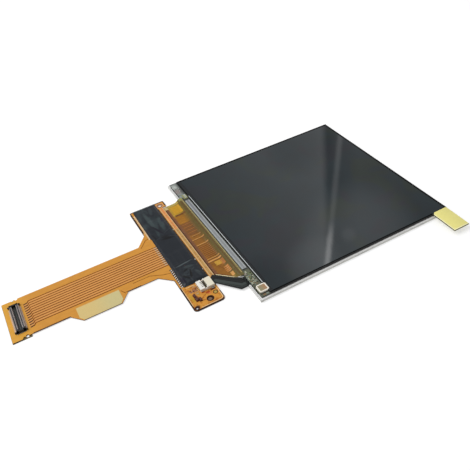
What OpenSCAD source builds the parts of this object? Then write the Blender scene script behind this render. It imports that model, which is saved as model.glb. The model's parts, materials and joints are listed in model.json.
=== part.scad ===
// Small liquid crystal display module, lying face up.
// The origin is the centre of the panel's back face, +X points away from the tail,
// +Z points out of the screen. All sizes are in millimetres.

/* [Display cell] */
// Size of the rear glass along X, ledge included
glass_x = 55.4; // [45:0.1:70]
// Size of the rear glass along Y
glass_y = 53.6; // [45:0.1:70]
// Thickness of the rear glass
tft_glass_t = 0.2; // [0.15:0.05:0.5]
// Thickness of the front glass
cf_glass_t = 0.2; // [0.15:0.05:0.5]
// Width of the rear glass that the front glass leaves bare
ledge_w = 2.3; // [2.1:0.1:4]
// Thickness of each polarizer
polarizer_t = 0.12; // [0.08:0.01:0.2]
// Width of glass left bare around the polarizers
polarizer_inset = 0.3; // [0.2:0.05:1]
// Thickness of the clear protective film
protective_t = 0.05; // [0.04:0.01:0.1]
// Width of the driver chip, across the ledge
chip_x = 1.2; // [0.6:0.1:1.3]
// Length of the driver chip, along the ledge
chip_y = 33.3; // [20:0.1:36]
// Height of the driver chip
chip_t = 0.2; // [0.15:0.05:0.3]
// Size of the square conductive dot
dot_size = 2.5; // [1.6:0.1:2.6]

/* [Pull tab] */
// Width of the pull tab
tab_x = 4.8; // [3:0.1:8]
// Length of the pull tab
tab_y = 8; // [5:0.5:14]
// Thickness of the pull tab
tab_t = 0.1; // [0.05:0.01:0.2]
// Length of the pull tab that is stuck to the film
tab_stuck = 0.3; // [0.2:0.1:0.5]

/* [Backlight] */
// Width of the frame that shows around the glass
frame_rim = 0.45; // [0.3:0.05:1]
// Width of the frame's bars
frame_bar = 1.1; // [0.9:0.1:1.8]
// Thickness of the steel tray
tray_t = 0.12; // [0.1:0.01:0.2]
// Height of the tray's walls
tray_h = 0.45; // [0.3:0.01:0.48]
// Thickness of the reflector sheet
reflector_t = 0.06; // [0.04:0.01:0.1]
// Thickness of the light guide
guide_t = 0.32; // [0.3:0.01:0.6]
// Thickness of the diffuser sheet
diffuser_t = 0.08; // [0.05:0.01:0.12]
// Thickness of each prism sheet
prism_t = 0.08; // [0.06:0.01:0.12]
// Thickness of the double-sided rim tape
rim_tape_t = 0.05; // [0.03:0.01:0.1]
// Number of hooks along each side of the frame
hook_count = 3; // [2:1:6]
// Number of backlight lamps
led_count = 10; // [6:1:12]
// Length of each lamp, along the row
led_y = 3; // [2:0.1:3.2]
// Depth of each lamp, towards the light guide
led_x = 0.9; // [0.6:0.1:1.2]

/* [Backlight lead] */
// Width of the lead where it enters its connector
lead_w = 2.4; // [1.8:0.1:3]
// Thickness of the lead and of the strip under the lamps
lead_t = 0.1; // [0.08:0.01:0.2]
// Width of the strip that carries the lamps
lead_strip_w = 2.1; // [1.9:0.1:2.6]
// Distance from the panel's middle to the middle of the lead's exit
lead_exit_y = 20.1; // [16:0.1:21]
// Width of the lead where it leaves the panel
lead_exit_w = 2.8; // [1.6:0.1:3]

/* [Flexible board] */
// Distance from the rear glass to the board
board_gap = 5.5; // [4.5:0.05:8]
// Size of the board along X
board_x = 8.95; // [8:0.05:12]
// Size of the board along Y
board_y = 43.6; // [40:0.1:50]
// Offset of the board's middle from the panel's middle, along Y
board_offset = 0.3; // [0:0.1:1]
// Thickness of the board and its tail
board_t = 0.2; // [0.12:0.01:0.3]
// Thickness of the stiffeners under the board and the tail
stiffener_t = 0.15; // [0.1:0.01:0.3]
// Radius of the board's corners
board_corner = 0.9; // [0.5:0.1:1.2]
// Width of the strip that the amber film is bonded to
bond_w = 1.1; // [0.8:0.1:1.5]
// Length of the board beyond the bonded strip, along Y
foot_y = 8.1; // [7:0.1:10]
// Width of the ear with the locating hole
ear_x = 1.2; // [0.8:0.05:2]
// Length of the ear along Y
ear_y = 2.8; // [2.2:0.1:4]
// Radius of the locating hole in the ear
ear_hole_r = 0.45; // [0.3:0.05:0.5]
// Radius of the locating hole in the board's corner
corner_hole_r = 0.3; // [0.2:0.05:0.4]
// Radius of the round window in the board's foot
window_r = 0.75; // [0.5:0.05:0.9]

/* [Amber film] */
// Thickness of the film
film_t = 0.05; // [0.03:0.01:0.1]
// Width of the film that is bonded on the ledge
film_bond = 0.4; // [0.3:0.1:0.5]
// Length of the film along Y
film_y = 37.1; // [36:0.1:38]
// Drop of the film's slanted end, along X
film_cut_x = 4.6; // [3:0.1:4.7]
// Drop of the film's slanted end, along Y
film_cut_y = 4.7; // [3:0.1:5.5]

/* [Tail] */
// Length of the tail beyond the board
tail_x = 38.95; // [25:0.05:60]
// Width of the tail
tail_y = 13.5; // [12:0.1:16]
// Offset of the tail's middle from the panel's middle, along Y
tail_offset = 0.25; // [0:0.05:1]
// Size of the slanted corners where the tail meets the board
tail_flare = 3.1; // [1:0.1:4]
// Size along Y of the one away from the side tab
tail_flare_far = 3.7; // [1:0.1:5]
// Length of the side tab at its root
side_tab_x = 14.5; // [12:0.1:16]
// Depth of the side tab
side_tab_y = 2.8; // [2:0.1:4]
// Distance from the board to the side tab
side_tab_gap = 10.9; // [6:0.05:14]
// Length of the label
label_x = 10.8; // [6:0.1:12]
// Width of the label
label_y = 4.6; // [3:0.1:6]
// Thickness of the label
label_t = 0.06; // [0.04:0.01:0.1]

/* [Tape and components] */
// Length of the black tape
tape_y = 35.2; // [30:0.1:36]
// Thickness of the black tape
tape_t = 0.07; // [0.05:0.01:0.1]
// Height of the components under the tape
component_h = 0.45; // [0.3:0.05:0.8]
// Length of a chip component
cap_y = 1; // [0.6:0.1:1.2]
// Width of a chip component
cap_x = 0.5; // [0.3:0.05:0.6]

/* [Lead connector] */
// Depth of the connector, along the lead
lead_conn_x = 3.7; // [3.5:0.05:4.5]
// Height of the connector above the board
lead_conn_h = 0.85; // [0.8:0.01:1.2]
// Thickness of the connector's side walls
lead_conn_wall = 0.3; // [0.28:0.01:0.5]
// Number of contacts
lead_ways = 4; // [2:1:4]
// Distance between contacts
lead_pitch = 0.5; // [0.4:0.05:0.6]
// Length of the lock flap
flap_x = 1.85; // [1.6:0.05:2]
// Angle that the lock flap is opened by
flap_open = 0; // [0:5:100]

/* [Tail connector] */
// Number of contacts in each row
tail_ways = 20; // [10:1:22]
// Distance between contacts
tail_pitch = 0.4; // [0.35:0.05:0.4]
// Width of the connector, solder feet included
tail_conn_x = 3; // [2.8:0.05:3.6]
// Height of the connector above the tail
tail_conn_h = 0.8; // [0.6:0.05:1.2]

/* [Hidden] */
$fn = 48;
eps = 0.01;

// Clearances between separate pieces
sheet_gap = 0.08;      // loose sheets to the frame around them
press_gap = 0.02;      // pieces that are pressed or glued together
flap_gap = 0.05;       // the moving flap to what is around it

// Panel, from the back face up
frame_x = glass_x + 2 * frame_rim;
frame_y = glass_y + 2 * frame_rim;
reflector_z = tray_t;
guide_z = reflector_z + reflector_t;
lead_z = guide_z + guide_t;
lower_prism_z = lead_z + diffuser_t;
upper_prism_z = lower_prism_z + prism_t;
frame_h = upper_prism_z + prism_t + press_gap * 2;
rim_tape_z = frame_h;
rear_polarizer_z = rim_tape_z + rim_tape_t;
tft_z = rear_polarizer_z + polarizer_t;
cf_z = tft_z + tft_glass_t;
front_polarizer_z = cf_z + cf_glass_t;
protective_z = front_polarizer_z + polarizer_t;
tab_z = protective_z + protective_t;

// Plan of the panel
glass_left = -glass_x / 2;
glass_right = glass_x / 2;
cf_left = glass_left + ledge_w;
polarizer_left = cf_left + polarizer_inset / 2;
polarizer_right = glass_right - polarizer_inset;
polarizer_half_y = glass_y / 2 - polarizer_inset;
film_inset = [0.8, 0.45, 0.7];     // film to the polarizer's left, right and far edges
tongue_left = 22.9;                // film's tongue under the pull tab
tongue_low = -glass_y / 2 - 0.1;
cavity_left = -frame_x / 2 + frame_bar;
cavity_right = frame_x / 2 - frame_bar;
cavity_half_y = frame_y / 2 - frame_bar;
led_left = cavity_left + sheet_gap;
guide_left = led_left + led_x + press_gap;
sheets_left = led_left + lead_strip_w + sheet_gap;
sheets_right = cavity_right - sheet_gap;
sheets_half_y = cavity_half_y - sheet_gap;
tape_window = 0.7;     // width of the rim tape inside the polarizer's edge
hook_y = 3;            // length of each hook that holds the frame in the tray
hook_margin = 0.09;    // tray wall left above and below each hook

// Flexible board
board_z = stiffener_t;
board_top = board_z + board_t;
board_right = glass_left - board_gap;
board_left = board_right - board_x;
board_high = board_offset + board_y / 2;
board_low = board_offset - board_y / 2;
foot_right = board_right - bond_w;
foot_high = board_low + foot_y;
ear_right = board_right + ear_x;
ear_low = board_high - ear_y;
ear_corner = 0.3;      // radius of the ear's corners
ear_hole_inset = 1.2;  // ear's outer edge to the edge of its hole
ear_hole_shift = -0.3; // from the ear's middle, along Y
ear_hole = [ear_right - ear_hole_inset - ear_hole_r, ear_low + ear_y / 2 + ear_hole_shift];
corner_hole_inset = [0.45, 0.4];   // board's edges to the edge of the hole in its corner
corner_hole = [board_left + corner_hole_inset[0] + corner_hole_r,
    board_low + corner_hole_inset[1] + corner_hole_r];
window_inset = [2.35, 1.1];       // foot's edges to the window's edge
window_place = [foot_right - window_inset[0] - window_r, board_low + window_inset[1] + window_r];
stiffener_over = 0.08; // how far the stiffeners stand out around the board

// Tail
tail_end = board_left - tail_x;
tail_high = tail_offset + tail_y / 2;
tail_low = tail_offset - tail_y / 2;
side_tab_right = board_left - side_tab_gap;
side_tab_mid = side_tab_right - side_tab_x / 2;
side_tab_slope = 2.5;  // length of each slanted side of the side tab
end_tab_x = 2.3;       // length of the wider tab at the tail's end
end_tab_step = [0.45, 0.15];       // how far that tab's low and high edges are shifted
notch_x = 0.7;         // notch that sets the end tab off
notch_y = [0.15, 0.5]; // its depth at the low and the high edge
key_r = 0.35;          // half-round keys in the tail's edges, beside the end tab
key_inset = 0.1;       // their middles, in from the tail's edges
key_gap = 0.15;        // notch to the keys
key_x = tail_end + end_tab_x + notch_x + key_gap + key_r;
key_places = [for (y = [tail_low + key_inset, tail_high - key_inset]) [key_x, y]];

// Amber film
film_shift = 0.2;                // film's middle from the board's middle, along Y
film_high = board_offset + film_shift + film_y / 2;
film_low = film_high - film_y;
film_z = board_z - film_t;       // under the board
film_top_z = cf_z;               // on the ledge
film_left = board_right - bond_w;
film_rest_z = 0.22;              // film's height where it has come down from the ledge
film_bend_start = glass_left - 0.15;     // just outside the glass
film_bend_rest = film_bend_start - 1.85; // foot of the bend
film_bend_end = board_right + 0.35;      // just before the board's edge

// Tape: between the board's left margin and the bonded strip
tape_left = board_left + 0.95;
tape_right = board_right - bond_w - 0.4;
tape_high = board_high - 0.05;
tape_low = tape_high - tape_y;
tape_slope = 0.7;      // width of the tape's slanted border

// Components
cap_step = 1.6;        // distance between chip components, along Y
cap_columns = 3;
cap_rows = 7;
supply_size = 3;       // side of each larger package
supply_places = [4.2, 9.6];        // their middles, from the tape's upper edge
open_caps = [[1.85, 3.1], [1.85, 4.35], [2.6, 2.7]];  // chips beside the tape, from the board's corner

// Lead connector
lead_side_gap = 0.05;  // lead to the connector's side walls
lead_conn_inset = [0.45, 0.3];     // foot's edges to the connector
lead_conn_y = lead_w + 2 * (lead_side_gap + lead_conn_wall);
lead_conn_right = foot_right - lead_conn_inset[0];
lead_conn_left = lead_conn_right - lead_conn_x;
lead_conn_mid = foot_high - lead_conn_inset[1] - lead_conn_y / 2;
lead_conn_top = board_top + lead_conn_h;
lead_floor = lead_z - board_top;
flap_t = 0.32;         // thickness of the flap
flap_z = lead_conn_top - flap_t;
pivot = [lead_conn_right - flap_x + flap_t / 2, lead_conn_top - flap_t / 2];
pin_r = 0.09;          // flap's pins
pin_bore_r = 0.12;     // bores that they turn in
ear_block = 0.27;      // half length of the ears that hold the flap's pins
ear_block_y = 0.33;    // their thickness
block_front = pivot[0] - 0.75;     // front face of the rear block
slot_depth = 0.55;     // how far the lead goes into the block
contact_w = 0.16;
metal_t = 0.1;         // thickness of both connectors' contacts and tabs

// Tail connector
tail_conn_inset = 2.6;             // tail's end to the connector's middle
tail_conn_shift = 0.3;             // tail's middle to the connector's middle
tail_conn_mid = [tail_end + tail_conn_inset, tail_offset - tail_conn_shift];
tail_row = (tail_ways - 1) * tail_pitch;
tail_conn_y = tail_row + 1.8;
tail_foot = 0.35;      // length of the solder feet outside the body
tail_body_x = tail_conn_x - 2 * tail_foot;
tongue_x = 0.75;       // width of the tongue in the middle
tongue_gap = 0.35;     // tongue to the end blocks
tail_wall = 0.3;
tail_block_y = 0.55;   // length of the full-width blocks at its ends
tail_block_drop = 0.16;            // blocks' tops below the walls' tops
tail_floor = 0.15;
contact_y = 0.2;

// Box between two corners
module span(low, high) {
    translate(low) cube(high - low);
}

// Flat plate between x0 and x1, symmetric in Y
module sheet(x0, x1, half_y, z, t) {
    span([x0, -half_y, z], [x1, half_y, z + t]);
}

// Plate with rounded corners between two corners in plan
module round_plate(low, high, r, z, t) {
    translate([0, 0, z]) linear_extrude(t) round_outline(low, high, r);
}

module round_outline(low, high, r) {
    translate([low[0] + r, low[1]]) square([high[0] - low[0] - 2 * r, high[1] - low[1]]);
    translate([low[0], low[1] + r]) square([high[0] - low[0], high[1] - low[1] - 2 * r]);
    for (x = [low[0] + r, high[0] - r], y = [low[1] + r, high[1] - r])
        translate([x, y]) circle(r);
}

// Places of the hooks along a side of the given length
function hook_places(side) =
    [for (i = [0 : hook_count - 1]) (i - (hook_count - 1) / 2) * side / hook_count];

// Blocks of the hooks' shape on all four sides, made larger by grow
module hooks(grow) {
    length = hook_y + 2 * grow;
    reach = tray_t + 2 * press_gap + grow;
    high = tray_h - hook_margin + grow;
    low = tray_t + hook_margin - grow;
    for (s = [-1, 1]) {
        for (x = hook_places(frame_x)) {
            y = s * (frame_y / 2 + grow - reach / 2);
            span([x - length / 2, y - reach / 2, low], [x + length / 2, y + reach / 2, high]);
        }
        for (y = hook_places(frame_y)) {
            x = s * (frame_x / 2 + grow - reach / 2);
            span([x - reach / 2, y - length / 2, low], [x + reach / 2, y + length / 2, high]);
        }
    }
}

// Steel tray: a floor with four folded walls, relief gaps at the corners and hook windows
module rear_tray() {
    corner = 0.6;
    color("silver") difference() {
        union() {
            sheet(-frame_x / 2, frame_x / 2, frame_y / 2, 0, tray_t);
            for (s = [-1, 1]) {
                y = s * (frame_y / 2 - tray_t / 2);
                span([-frame_x / 2 + corner, y - tray_t / 2, tray_t - eps],
                    [frame_x / 2 - corner, y + tray_t / 2, tray_h]);
                x = s * (frame_x / 2 - tray_t / 2);
                span([x - tray_t / 2, -frame_y / 2 + corner, tray_t - eps],
                    [x + tray_t / 2, frame_y / 2 - corner, tray_h]);
            }
        }
        hooks(press_gap);
    }
}

// White frame: inside the tray below, flush with the tray's outside above
module mould_frame() {
    inner = tray_t + press_gap;
    wall_top = tray_h + press_gap;
    color("whitesmoke") difference() {
        union() {
            sheet(-frame_x / 2 + inner, frame_x / 2 - inner, frame_y / 2 - inner,
                tray_t, wall_top - tray_t + eps);
            sheet(-frame_x / 2, frame_x / 2, frame_y / 2, wall_top, frame_h - wall_top);
            hooks(0);
        }
        span([cavity_left, -cavity_half_y, 0], [cavity_right, cavity_half_y, frame_h + 1]);
        span([-frame_x, -lead_exit_y - lead_exit_w / 2 - press_gap, lead_z - press_gap],
            [cavity_left + eps, -lead_exit_y + lead_exit_w / 2 + press_gap, lead_z + lead_t + press_gap]);
    }
}

module reflector_sheet() {
    color("gainsboro")
        sheet(cavity_left + sheet_gap, sheets_right, sheets_half_y, reflector_z, reflector_t);
}

module light_guide() {
    color("azure")
        sheet(guide_left, sheets_right, sheets_half_y, guide_z, guide_t);
}

module diffuser_sheet() {
    color("white")
        sheet(sheets_left, sheets_right, sheets_half_y, lead_z, diffuser_t);
}

module lower_prism_sheet() {
    color("lavender")
        sheet(sheets_left, sheets_right, sheets_half_y, lower_prism_z, prism_t);
}

module upper_prism_sheet() {
    color("lavender")
        sheet(sheets_left, sheets_right, sheets_half_y, upper_prism_z, prism_t);
}

module rim_tape() {
    color("black") difference() {
        sheet(glass_left + press_gap, glass_right - press_gap, glass_y / 2 - press_gap,
            rim_tape_z, rim_tape_t);
        sheet(polarizer_left + tape_window, polarizer_right - tape_window, polarizer_half_y - tape_window,
            rim_tape_z - 1, rim_tape_t + 2);
    }
}

// One lamp: a white case with a yellow window towards the light guide
module led(y) {
    span([led_left, y - led_y / 2, guide_z], [led_left + led_x, y + led_y / 2, lead_z]);
}

module backlight_leds() {
    row = 2 * (cavity_half_y - 1.5) - led_y;
    color("khaki") for (i = [0 : led_count - 1]) led(-row / 2 + i * row / (led_count - 1));
}

// Strip over the lamps, then the lead: straight out of the panel, slanting to its connector
module led_flex() {
    strip_y = cavity_half_y - 0.6;
    exit_high = -lead_exit_y + lead_exit_w / 2;
    exit_low = -lead_exit_y - lead_exit_w / 2;
    bend_high = -frame_x / 2 - 0.25;
    bend_low = -frame_x / 2 - 1.9;
    plug = foot_right + 0.2;
    widening = 0.6;    // on the side towards the film
    plug_end = block_front - slot_depth + lead_side_gap;
    plug_high = lead_conn_mid + lead_w / 2;
    plug_low = lead_conn_mid - lead_w / 2;
    color("dimgray") translate([0, 0, lead_z]) linear_extrude(lead_t) polygon([
        [led_left, strip_y], [led_left + lead_strip_w, strip_y],
        [led_left + lead_strip_w, -strip_y], [led_left, -strip_y],
        [led_left, exit_low], [bend_low, exit_low], [plug, plug_low], [plug_end, plug_low],
        [plug_end, plug_high], [plug - widening, plug_high], [plug, plug_high + widening],
        [bend_high, exit_high], [led_left, exit_high]]);
}

module rear_polarizer() {
    color("dimgray")
        sheet(polarizer_left, polarizer_right, polarizer_half_y, rear_polarizer_z, polarizer_t);
}

module tft_glass() {
    color("darkslategray") sheet(glass_left, glass_right, glass_y / 2, tft_z, tft_glass_t);
}

module colour_filter_glass() {
    color("darkslategray") sheet(cf_left, glass_right, glass_y / 2, cf_z, cf_glass_t);
}

module front_polarizer() {
    color("dimgray")
        sheet(polarizer_left, polarizer_right, polarizer_half_y, front_polarizer_z, polarizer_t);
}

// Clear film over the polarizer, with a small tongue at one corner for the pull tab
module protective_film() {
    right = polarizer_right - film_inset[1];
    top = protective_z + protective_t;
    color("lightgray") union() {
        span([polarizer_left + film_inset[0], -polarizer_half_y, protective_z],
            [right, polarizer_half_y - film_inset[2], top]);
        span([tongue_left, tongue_low, protective_z], [right, -polarizer_half_y + 1, top]);
    }
}

module pull_tab() {
    corner = 0.25;
    right = polarizer_right - 0.05;
    high = tongue_low + tab_stuck;
    color("khaki") round_plate([right - tab_x, high - tab_y], [right, high], corner, tab_z, tab_t);
}

module driver_chip() {
    right = cf_left - 0.45;
    mid = 0.2;
    color("lightsteelblue")
        span([right - chip_x, mid - chip_y / 2, cf_z], [right, mid + chip_y / 2, cf_z + chip_t]);
}

// Paste dot that runs from the ledge over the front glass onto the polarizer's edge
module ground_dot() {
    corner = 0.3;
    right = polarizer_left + 0.35;
    low = -glass_y / 2 + 1.05;
    top = protective_z + 0.1;
    color("rosybrown") difference() {
        round_plate([right - dot_size, low], [right, low + dot_size], corner, cf_z, top - cf_z);
        span([cf_left - press_gap, low - 1, 0], [right + 1, low + dot_size + 1, front_polarizer_z]);
        span([polarizer_left - press_gap, low - 1, 0], [right + 1, low + dot_size + 1, protective_z]);
    }
}

// Height of the film's underside along its bend, from the ledge down
function film_height(u) = film_top_z + (film_rest_z - film_top_z) * (1 - cos(180 * u)) / 2;

// Amber film: flat on the ledge, one smooth bend down, then a shallow slope under the board's edge
module panel_film() {
    steps = 12;
    bend = [for (i = [0 : steps])
        [film_bend_start + (film_bend_rest - film_bend_start) * i / steps, film_height(i / steps)]];
    back = [for (i = [steps : -1 : 0]) bend[i] + [0, film_t]];
    ledge = glass_left + film_bond;
    cut_high = film_low + film_cut_y;
    color("darkgoldenrod") intersection() {
        translate([0, film_high, 0]) rotate([90, 0, 0]) linear_extrude(film_y) polygon(concat(
            [[ledge, film_top_z + film_t], [ledge, film_top_z]], bend,
            [[film_bend_end, film_z], [film_left, film_z], [film_left, film_z + film_t],
            [film_bend_end, film_z + film_t]], back));
        linear_extrude(film_top_z + 1) polygon([
            [ledge, film_high], [film_left, film_high], [film_left, cut_high],
            [film_bend_end, cut_high], [film_bend_end + film_cut_x, film_low], [ledge, film_low]]);
    }
}

// Outline of the board's body with its foot and its ear
module board_outline() {
    difference() {
        union() {
            round_outline([board_left, board_low], [foot_right, board_high], board_corner);
            translate([board_left, board_high - board_corner]) square([board_corner, board_corner]);
            translate([foot_right - 1, foot_high]) square([bond_w + 1, board_high - foot_high]);
            round_outline([board_right - 2, ear_low], [ear_right, board_high], ear_corner);
            tail_outline();
        }
        translate(ear_hole) circle(ear_hole_r);
        translate(corner_hole) circle(corner_hole_r);
        translate(window_place) circle(window_r);
    }
}

// Outline of the tail with its side tab, its flared root and its end tab
module tail_outline() {
    root = board_left + 1;
    end_low = tail_low - end_tab_step[0];
    end_high = tail_high - end_tab_step[1];
    notch = tail_end + end_tab_x;
    difference() {
        polygon([
            [root, tail_high + tail_flare_far], [board_left, tail_high + tail_flare_far],
            [board_left - tail_flare, tail_high], [notch + notch_x, tail_high],
            [notch + notch_x / 2, end_high - notch_y[1]], [notch, end_high],
            [tail_end, end_high], [tail_end, end_low], [notch, end_low],
            [notch + notch_x / 2, tail_low + notch_y[0]], [notch + notch_x, tail_low],
            [side_tab_right - side_tab_x, tail_low],
            [side_tab_right - side_tab_x + side_tab_slope, tail_low - side_tab_y],
            [side_tab_right - side_tab_slope, tail_low - side_tab_y],
            [side_tab_right, tail_low],
            [board_left - tail_flare, tail_low], [board_left, tail_low - tail_flare],
            [root, tail_low - tail_flare]]);
        for (place = key_places) translate(place) circle(key_r);
    }
}

module flex_board() {
    color("darkorange") translate([0, 0, board_z]) linear_extrude(board_t) board_outline();
}

// Dark plate under the component area, clear of the bonded film
module board_stiffener() {
    right = film_left - press_gap;
    color("saddlebrown") difference() {
        round_plate([board_left - stiffener_over, board_low - stiffener_over],
            [right, board_high + stiffener_over], board_corner, 0, stiffener_t);
        translate([corner_hole[0], corner_hole[1], -1]) cylinder(r = corner_hole_r, h = 2);
    }
}

module tail_stiffener() {
    color("saddlebrown") difference() {
        span([tail_end - stiffener_over, tail_low - end_tab_step[0] - stiffener_over, 0],
            [key_x + 1, tail_high - end_tab_step[1] + stiffener_over, stiffener_t]);
        for (place = key_places) translate([place[0], place[1], -1]) cylinder(r = key_r, h = 2);
    }
}

// Solid under the tape's top face, drawn in by a wall thickness
module tape_form(wall) {
    top = board_top + component_h + tape_t + press_gap;
    hull() {
        span([tape_left + wall * 2, tape_low + wall * 2, board_top - (wall > 0 ? 1 : 0)],
            [tape_right - wall * 2, tape_high - wall * 2, board_top + 0.02]);
        span([tape_left + tape_slope, tape_low + tape_slope, top - wall - 0.1],
            [tape_right - tape_slope, tape_high - tape_slope, top - wall]);
    }
}

module board_tape() {
    color("darkslategray") difference() {
        tape_form(0);
        tape_form(tape_t);
    }
}

// One chip component lying along Y
module chip(x, y) {
    span([x - cap_x / 2, y - cap_y / 2, board_top],
        [x + cap_x / 2, y + cap_y / 2, board_top + component_h]);
}

module chip_capacitors() {
    margin = tape_slope + 0.5;
    step_x = (tape_right - tape_left - 2 * margin) / (cap_columns - 1);
    color("tan") {
        for (i = [0 : cap_columns - 1], j = [0 : cap_rows - 1])
            chip(tape_left + margin + i * step_x, tape_low + margin + cap_y / 2 + j * cap_step);
        for (place = open_caps) chip(board_left + place[0], board_low + place[1]);
    }
}

// Two larger packages under the tape
module supply_chips() {
    x = (tape_left + tape_right) / 2;
    half = supply_size / 2;
    color("black") for (place = supply_places) {
        y = tape_high - place;
        span([x - half, y - half, board_top], [x + half, y + half, board_top + component_h]);
    }
}

module tail_label() {
    cut = [0.9, 1.17];
    low = tail_low - side_tab_y;
    left = side_tab_mid - label_x / 2;
    right = side_tab_mid + label_x / 2;
    color("khaki") translate([0, 0, board_top]) linear_extrude(label_t) polygon([
        [left, low + label_y], [right, low + label_y], [right, low + cut[1]], [right - cut[0], low],
        [left + cut[0], low], [left, low + cut[1]]]);
}

// White body: floor, rear block with contact slots, side walls and ears for the flap's pins
module lead_connector_body() {
    half = lead_conn_y / 2;
    wall_top = flap_z - flap_gap;
    roof_t = 0.15;     // wall left over the contacts
    groove_x = 0.5;    // open grooves at the front of the block
    color("ivory") translate([0, lead_conn_mid, 0]) difference() {
        union() {
            sheet(lead_conn_left, lead_conn_right, half, board_top, lead_floor);
            sheet(lead_conn_left, block_front, half, board_top, lead_conn_h);
            for (s = [-1, 1]) {
                wall = s * (half - lead_conn_wall / 2);
                span([block_front - eps, wall - lead_conn_wall / 2, board_top],
                    [lead_conn_right, wall + lead_conn_wall / 2, wall_top]);
                ear = s * (half - ear_block_y / 2);
                span([pivot[0] - ear_block, ear - ear_block_y / 2, board_top],
                    [pivot[0] + ear_block, ear + ear_block_y / 2, lead_conn_top]);
            }
        }
        sheet(block_front - slot_depth, block_front + 1, lead_w / 2 + press_gap,
            lead_z, lead_t + press_gap);
        for (i = [0 : lead_ways - 1]) {
            y = (i - (lead_ways - 1) / 2) * lead_pitch;
            low = y - contact_w / 2 - press_gap;
            high = y + contact_w / 2 + press_gap;
            span([lead_conn_left - 1, low, lead_z + lead_t],
                [block_front + 1, high, lead_conn_top - roof_t]);
            span([block_front - groove_x, low, lead_z + lead_t],
                [block_front + 1, high, lead_conn_top + 1]);
        }
        translate([pivot[0], half + 1, pivot[1]]) rotate([90, 0, 0])
            cylinder(r = pin_bore_r, h = lead_conn_y + 2);
    }
}

// Bar of one contact, between two corners in X and Z
module contact_bar(y, low, high) {
    span([low[0], y - contact_w / 2, low[1]], [high[0], y + contact_w / 2, high[1]]);
}

// One contact: solder foot, riser at the back, beam over the lead, hook in front of the block
module lead_contact(y) {
    foot = lead_conn_left - 0.35;
    back = lead_conn_left - press_gap;
    beam = lead_z + lead_t + press_gap;
    hook = [block_front - 0.45, block_front - 0.2];
    hook_top = lead_conn_top - flap_t;
    contact_bar(y, [foot, board_top], [back, board_top + metal_t]);
    contact_bar(y, [back - metal_t, board_top], [back, beam + metal_t]);
    contact_bar(y, [back - metal_t, beam], [hook[1], beam + metal_t]);
    contact_bar(y, [hook[0], beam], [hook[1], hook_top]);
    contact_bar(y, [hook[0], hook_top - metal_t], [pivot[0] - 0.3, hook_top]);
}

module lead_connector_contacts() {
    color("gold") translate([0, lead_conn_mid, 0])
        for (i = [0 : lead_ways - 1]) lead_contact((i - (lead_ways - 1) / 2) * lead_pitch);
}

// Solder tabs on both sides of the connector
module lead_connector_nails() {
    inner = lead_conn_y / 2 + press_gap;
    width = 0.3;
    x = [lead_conn_right - 0.95, lead_conn_right - 0.2];
    color("silver") translate([0, lead_conn_mid, 0]) for (s = [0, 1]) mirror([0, s, 0]) {
        span([x[0], inner, board_top], [x[1], inner + width, board_top + metal_t]);
        span([x[0], inner, board_top], [x[1], inner + metal_t, board_top + width]);
    }
}

// Lock flap: a plate with a rounded root that turns on two pins
module lead_connector_flap() {
    half = lead_conn_y / 2;
    neck = half - ear_block_y - flap_gap;
    pin_inset = 0.1;
    color("white") translate([pivot[0], lead_conn_mid, pivot[1]]) rotate([0, -flap_open, 0]) {
        sheet(ear_block + flap_gap, flap_x - flap_t / 2, half, -flap_t / 2, flap_t);
        sheet(0, ear_block + flap_gap + eps, neck, -flap_t / 2, flap_t);
        translate([0, neck, 0]) rotate([90, 0, 0]) cylinder(r = flap_t / 2, h = 2 * neck);
        translate([0, half - pin_inset, 0]) rotate([90, 0, 0])
            cylinder(r = pin_r, h = lead_conn_y - 2 * pin_inset);
    }
}

// Black body: floor, long walls, full-width end blocks and a tongue in the middle
module tail_connector_body() {
    body = tail_body_x / 2;
    half = tail_conn_y / 2;
    color("dimgray") translate([tail_conn_mid[0], tail_conn_mid[1], 0]) difference() {
        union() {
            sheet(-body, body, half, board_top, tail_conn_h);
            for (s = [-1, 1]) {
                y = s * (half - tail_block_y / 2);
                span([-tail_conn_x / 2, y - tail_block_y / 2, board_top],
                    [tail_conn_x / 2, y + tail_block_y / 2, board_top + tail_conn_h - tail_block_drop]);
            }
        }
        difference() {
            sheet(-body + tail_wall, body - tail_wall, half - tail_block_y,
                board_top + tail_floor, tail_conn_h);
            sheet(-tongue_x / 2, tongue_x / 2, half - tail_block_y - tongue_gap,
                board_top, tail_conn_h - 0.05);
        }
        for (s = [-1, 1], i = [0 : tail_ways - 1]) {
            y = -tail_row / 2 + i * tail_pitch;
            x = s * (body - tail_wall / 2);
            span([x - 1, y - contact_y / 2 - press_gap, board_top - 1],
                [x + 1, y + contact_y / 2 + press_gap, board_top + tail_floor]);
        }
    }
}

// One contact: solder foot outside, floor run, spring leg beside the wall
module tail_contact(s, y) {
    body = tail_body_x / 2;
    foot = s * (tail_conn_x / 2 - press_gap);
    leg = s * (body - tail_wall - press_gap - metal_t / 2);
    leg_top = board_top + tail_conn_h - 0.12;
    low = y - contact_y / 2;
    high = y + contact_y / 2;
    span([min(foot, leg), low, board_top], [max(foot, leg), high, board_top + metal_t]);
    span([leg - metal_t / 2, low, board_top], [leg + metal_t / 2, high, leg_top]);
}

module tail_connector_contacts() {
    color("gold") translate([tail_conn_mid[0], tail_conn_mid[1], 0])
        for (s = [-1, 1], i = [0 : tail_ways - 1]) tail_contact(s, -tail_row / 2 + i * tail_pitch);
}

module tail_connector_nails() {
    inner = tail_conn_y / 2 + press_gap;
    width = 0.24;
    color("silver") translate([tail_conn_mid[0], tail_conn_mid[1], 0]) for (s = [0, 1]) mirror([0, s, 0])
        span([-tail_body_x / 2, inner, board_top], [tail_body_x / 2, inner + width, board_top + metal_t]);
}

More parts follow.
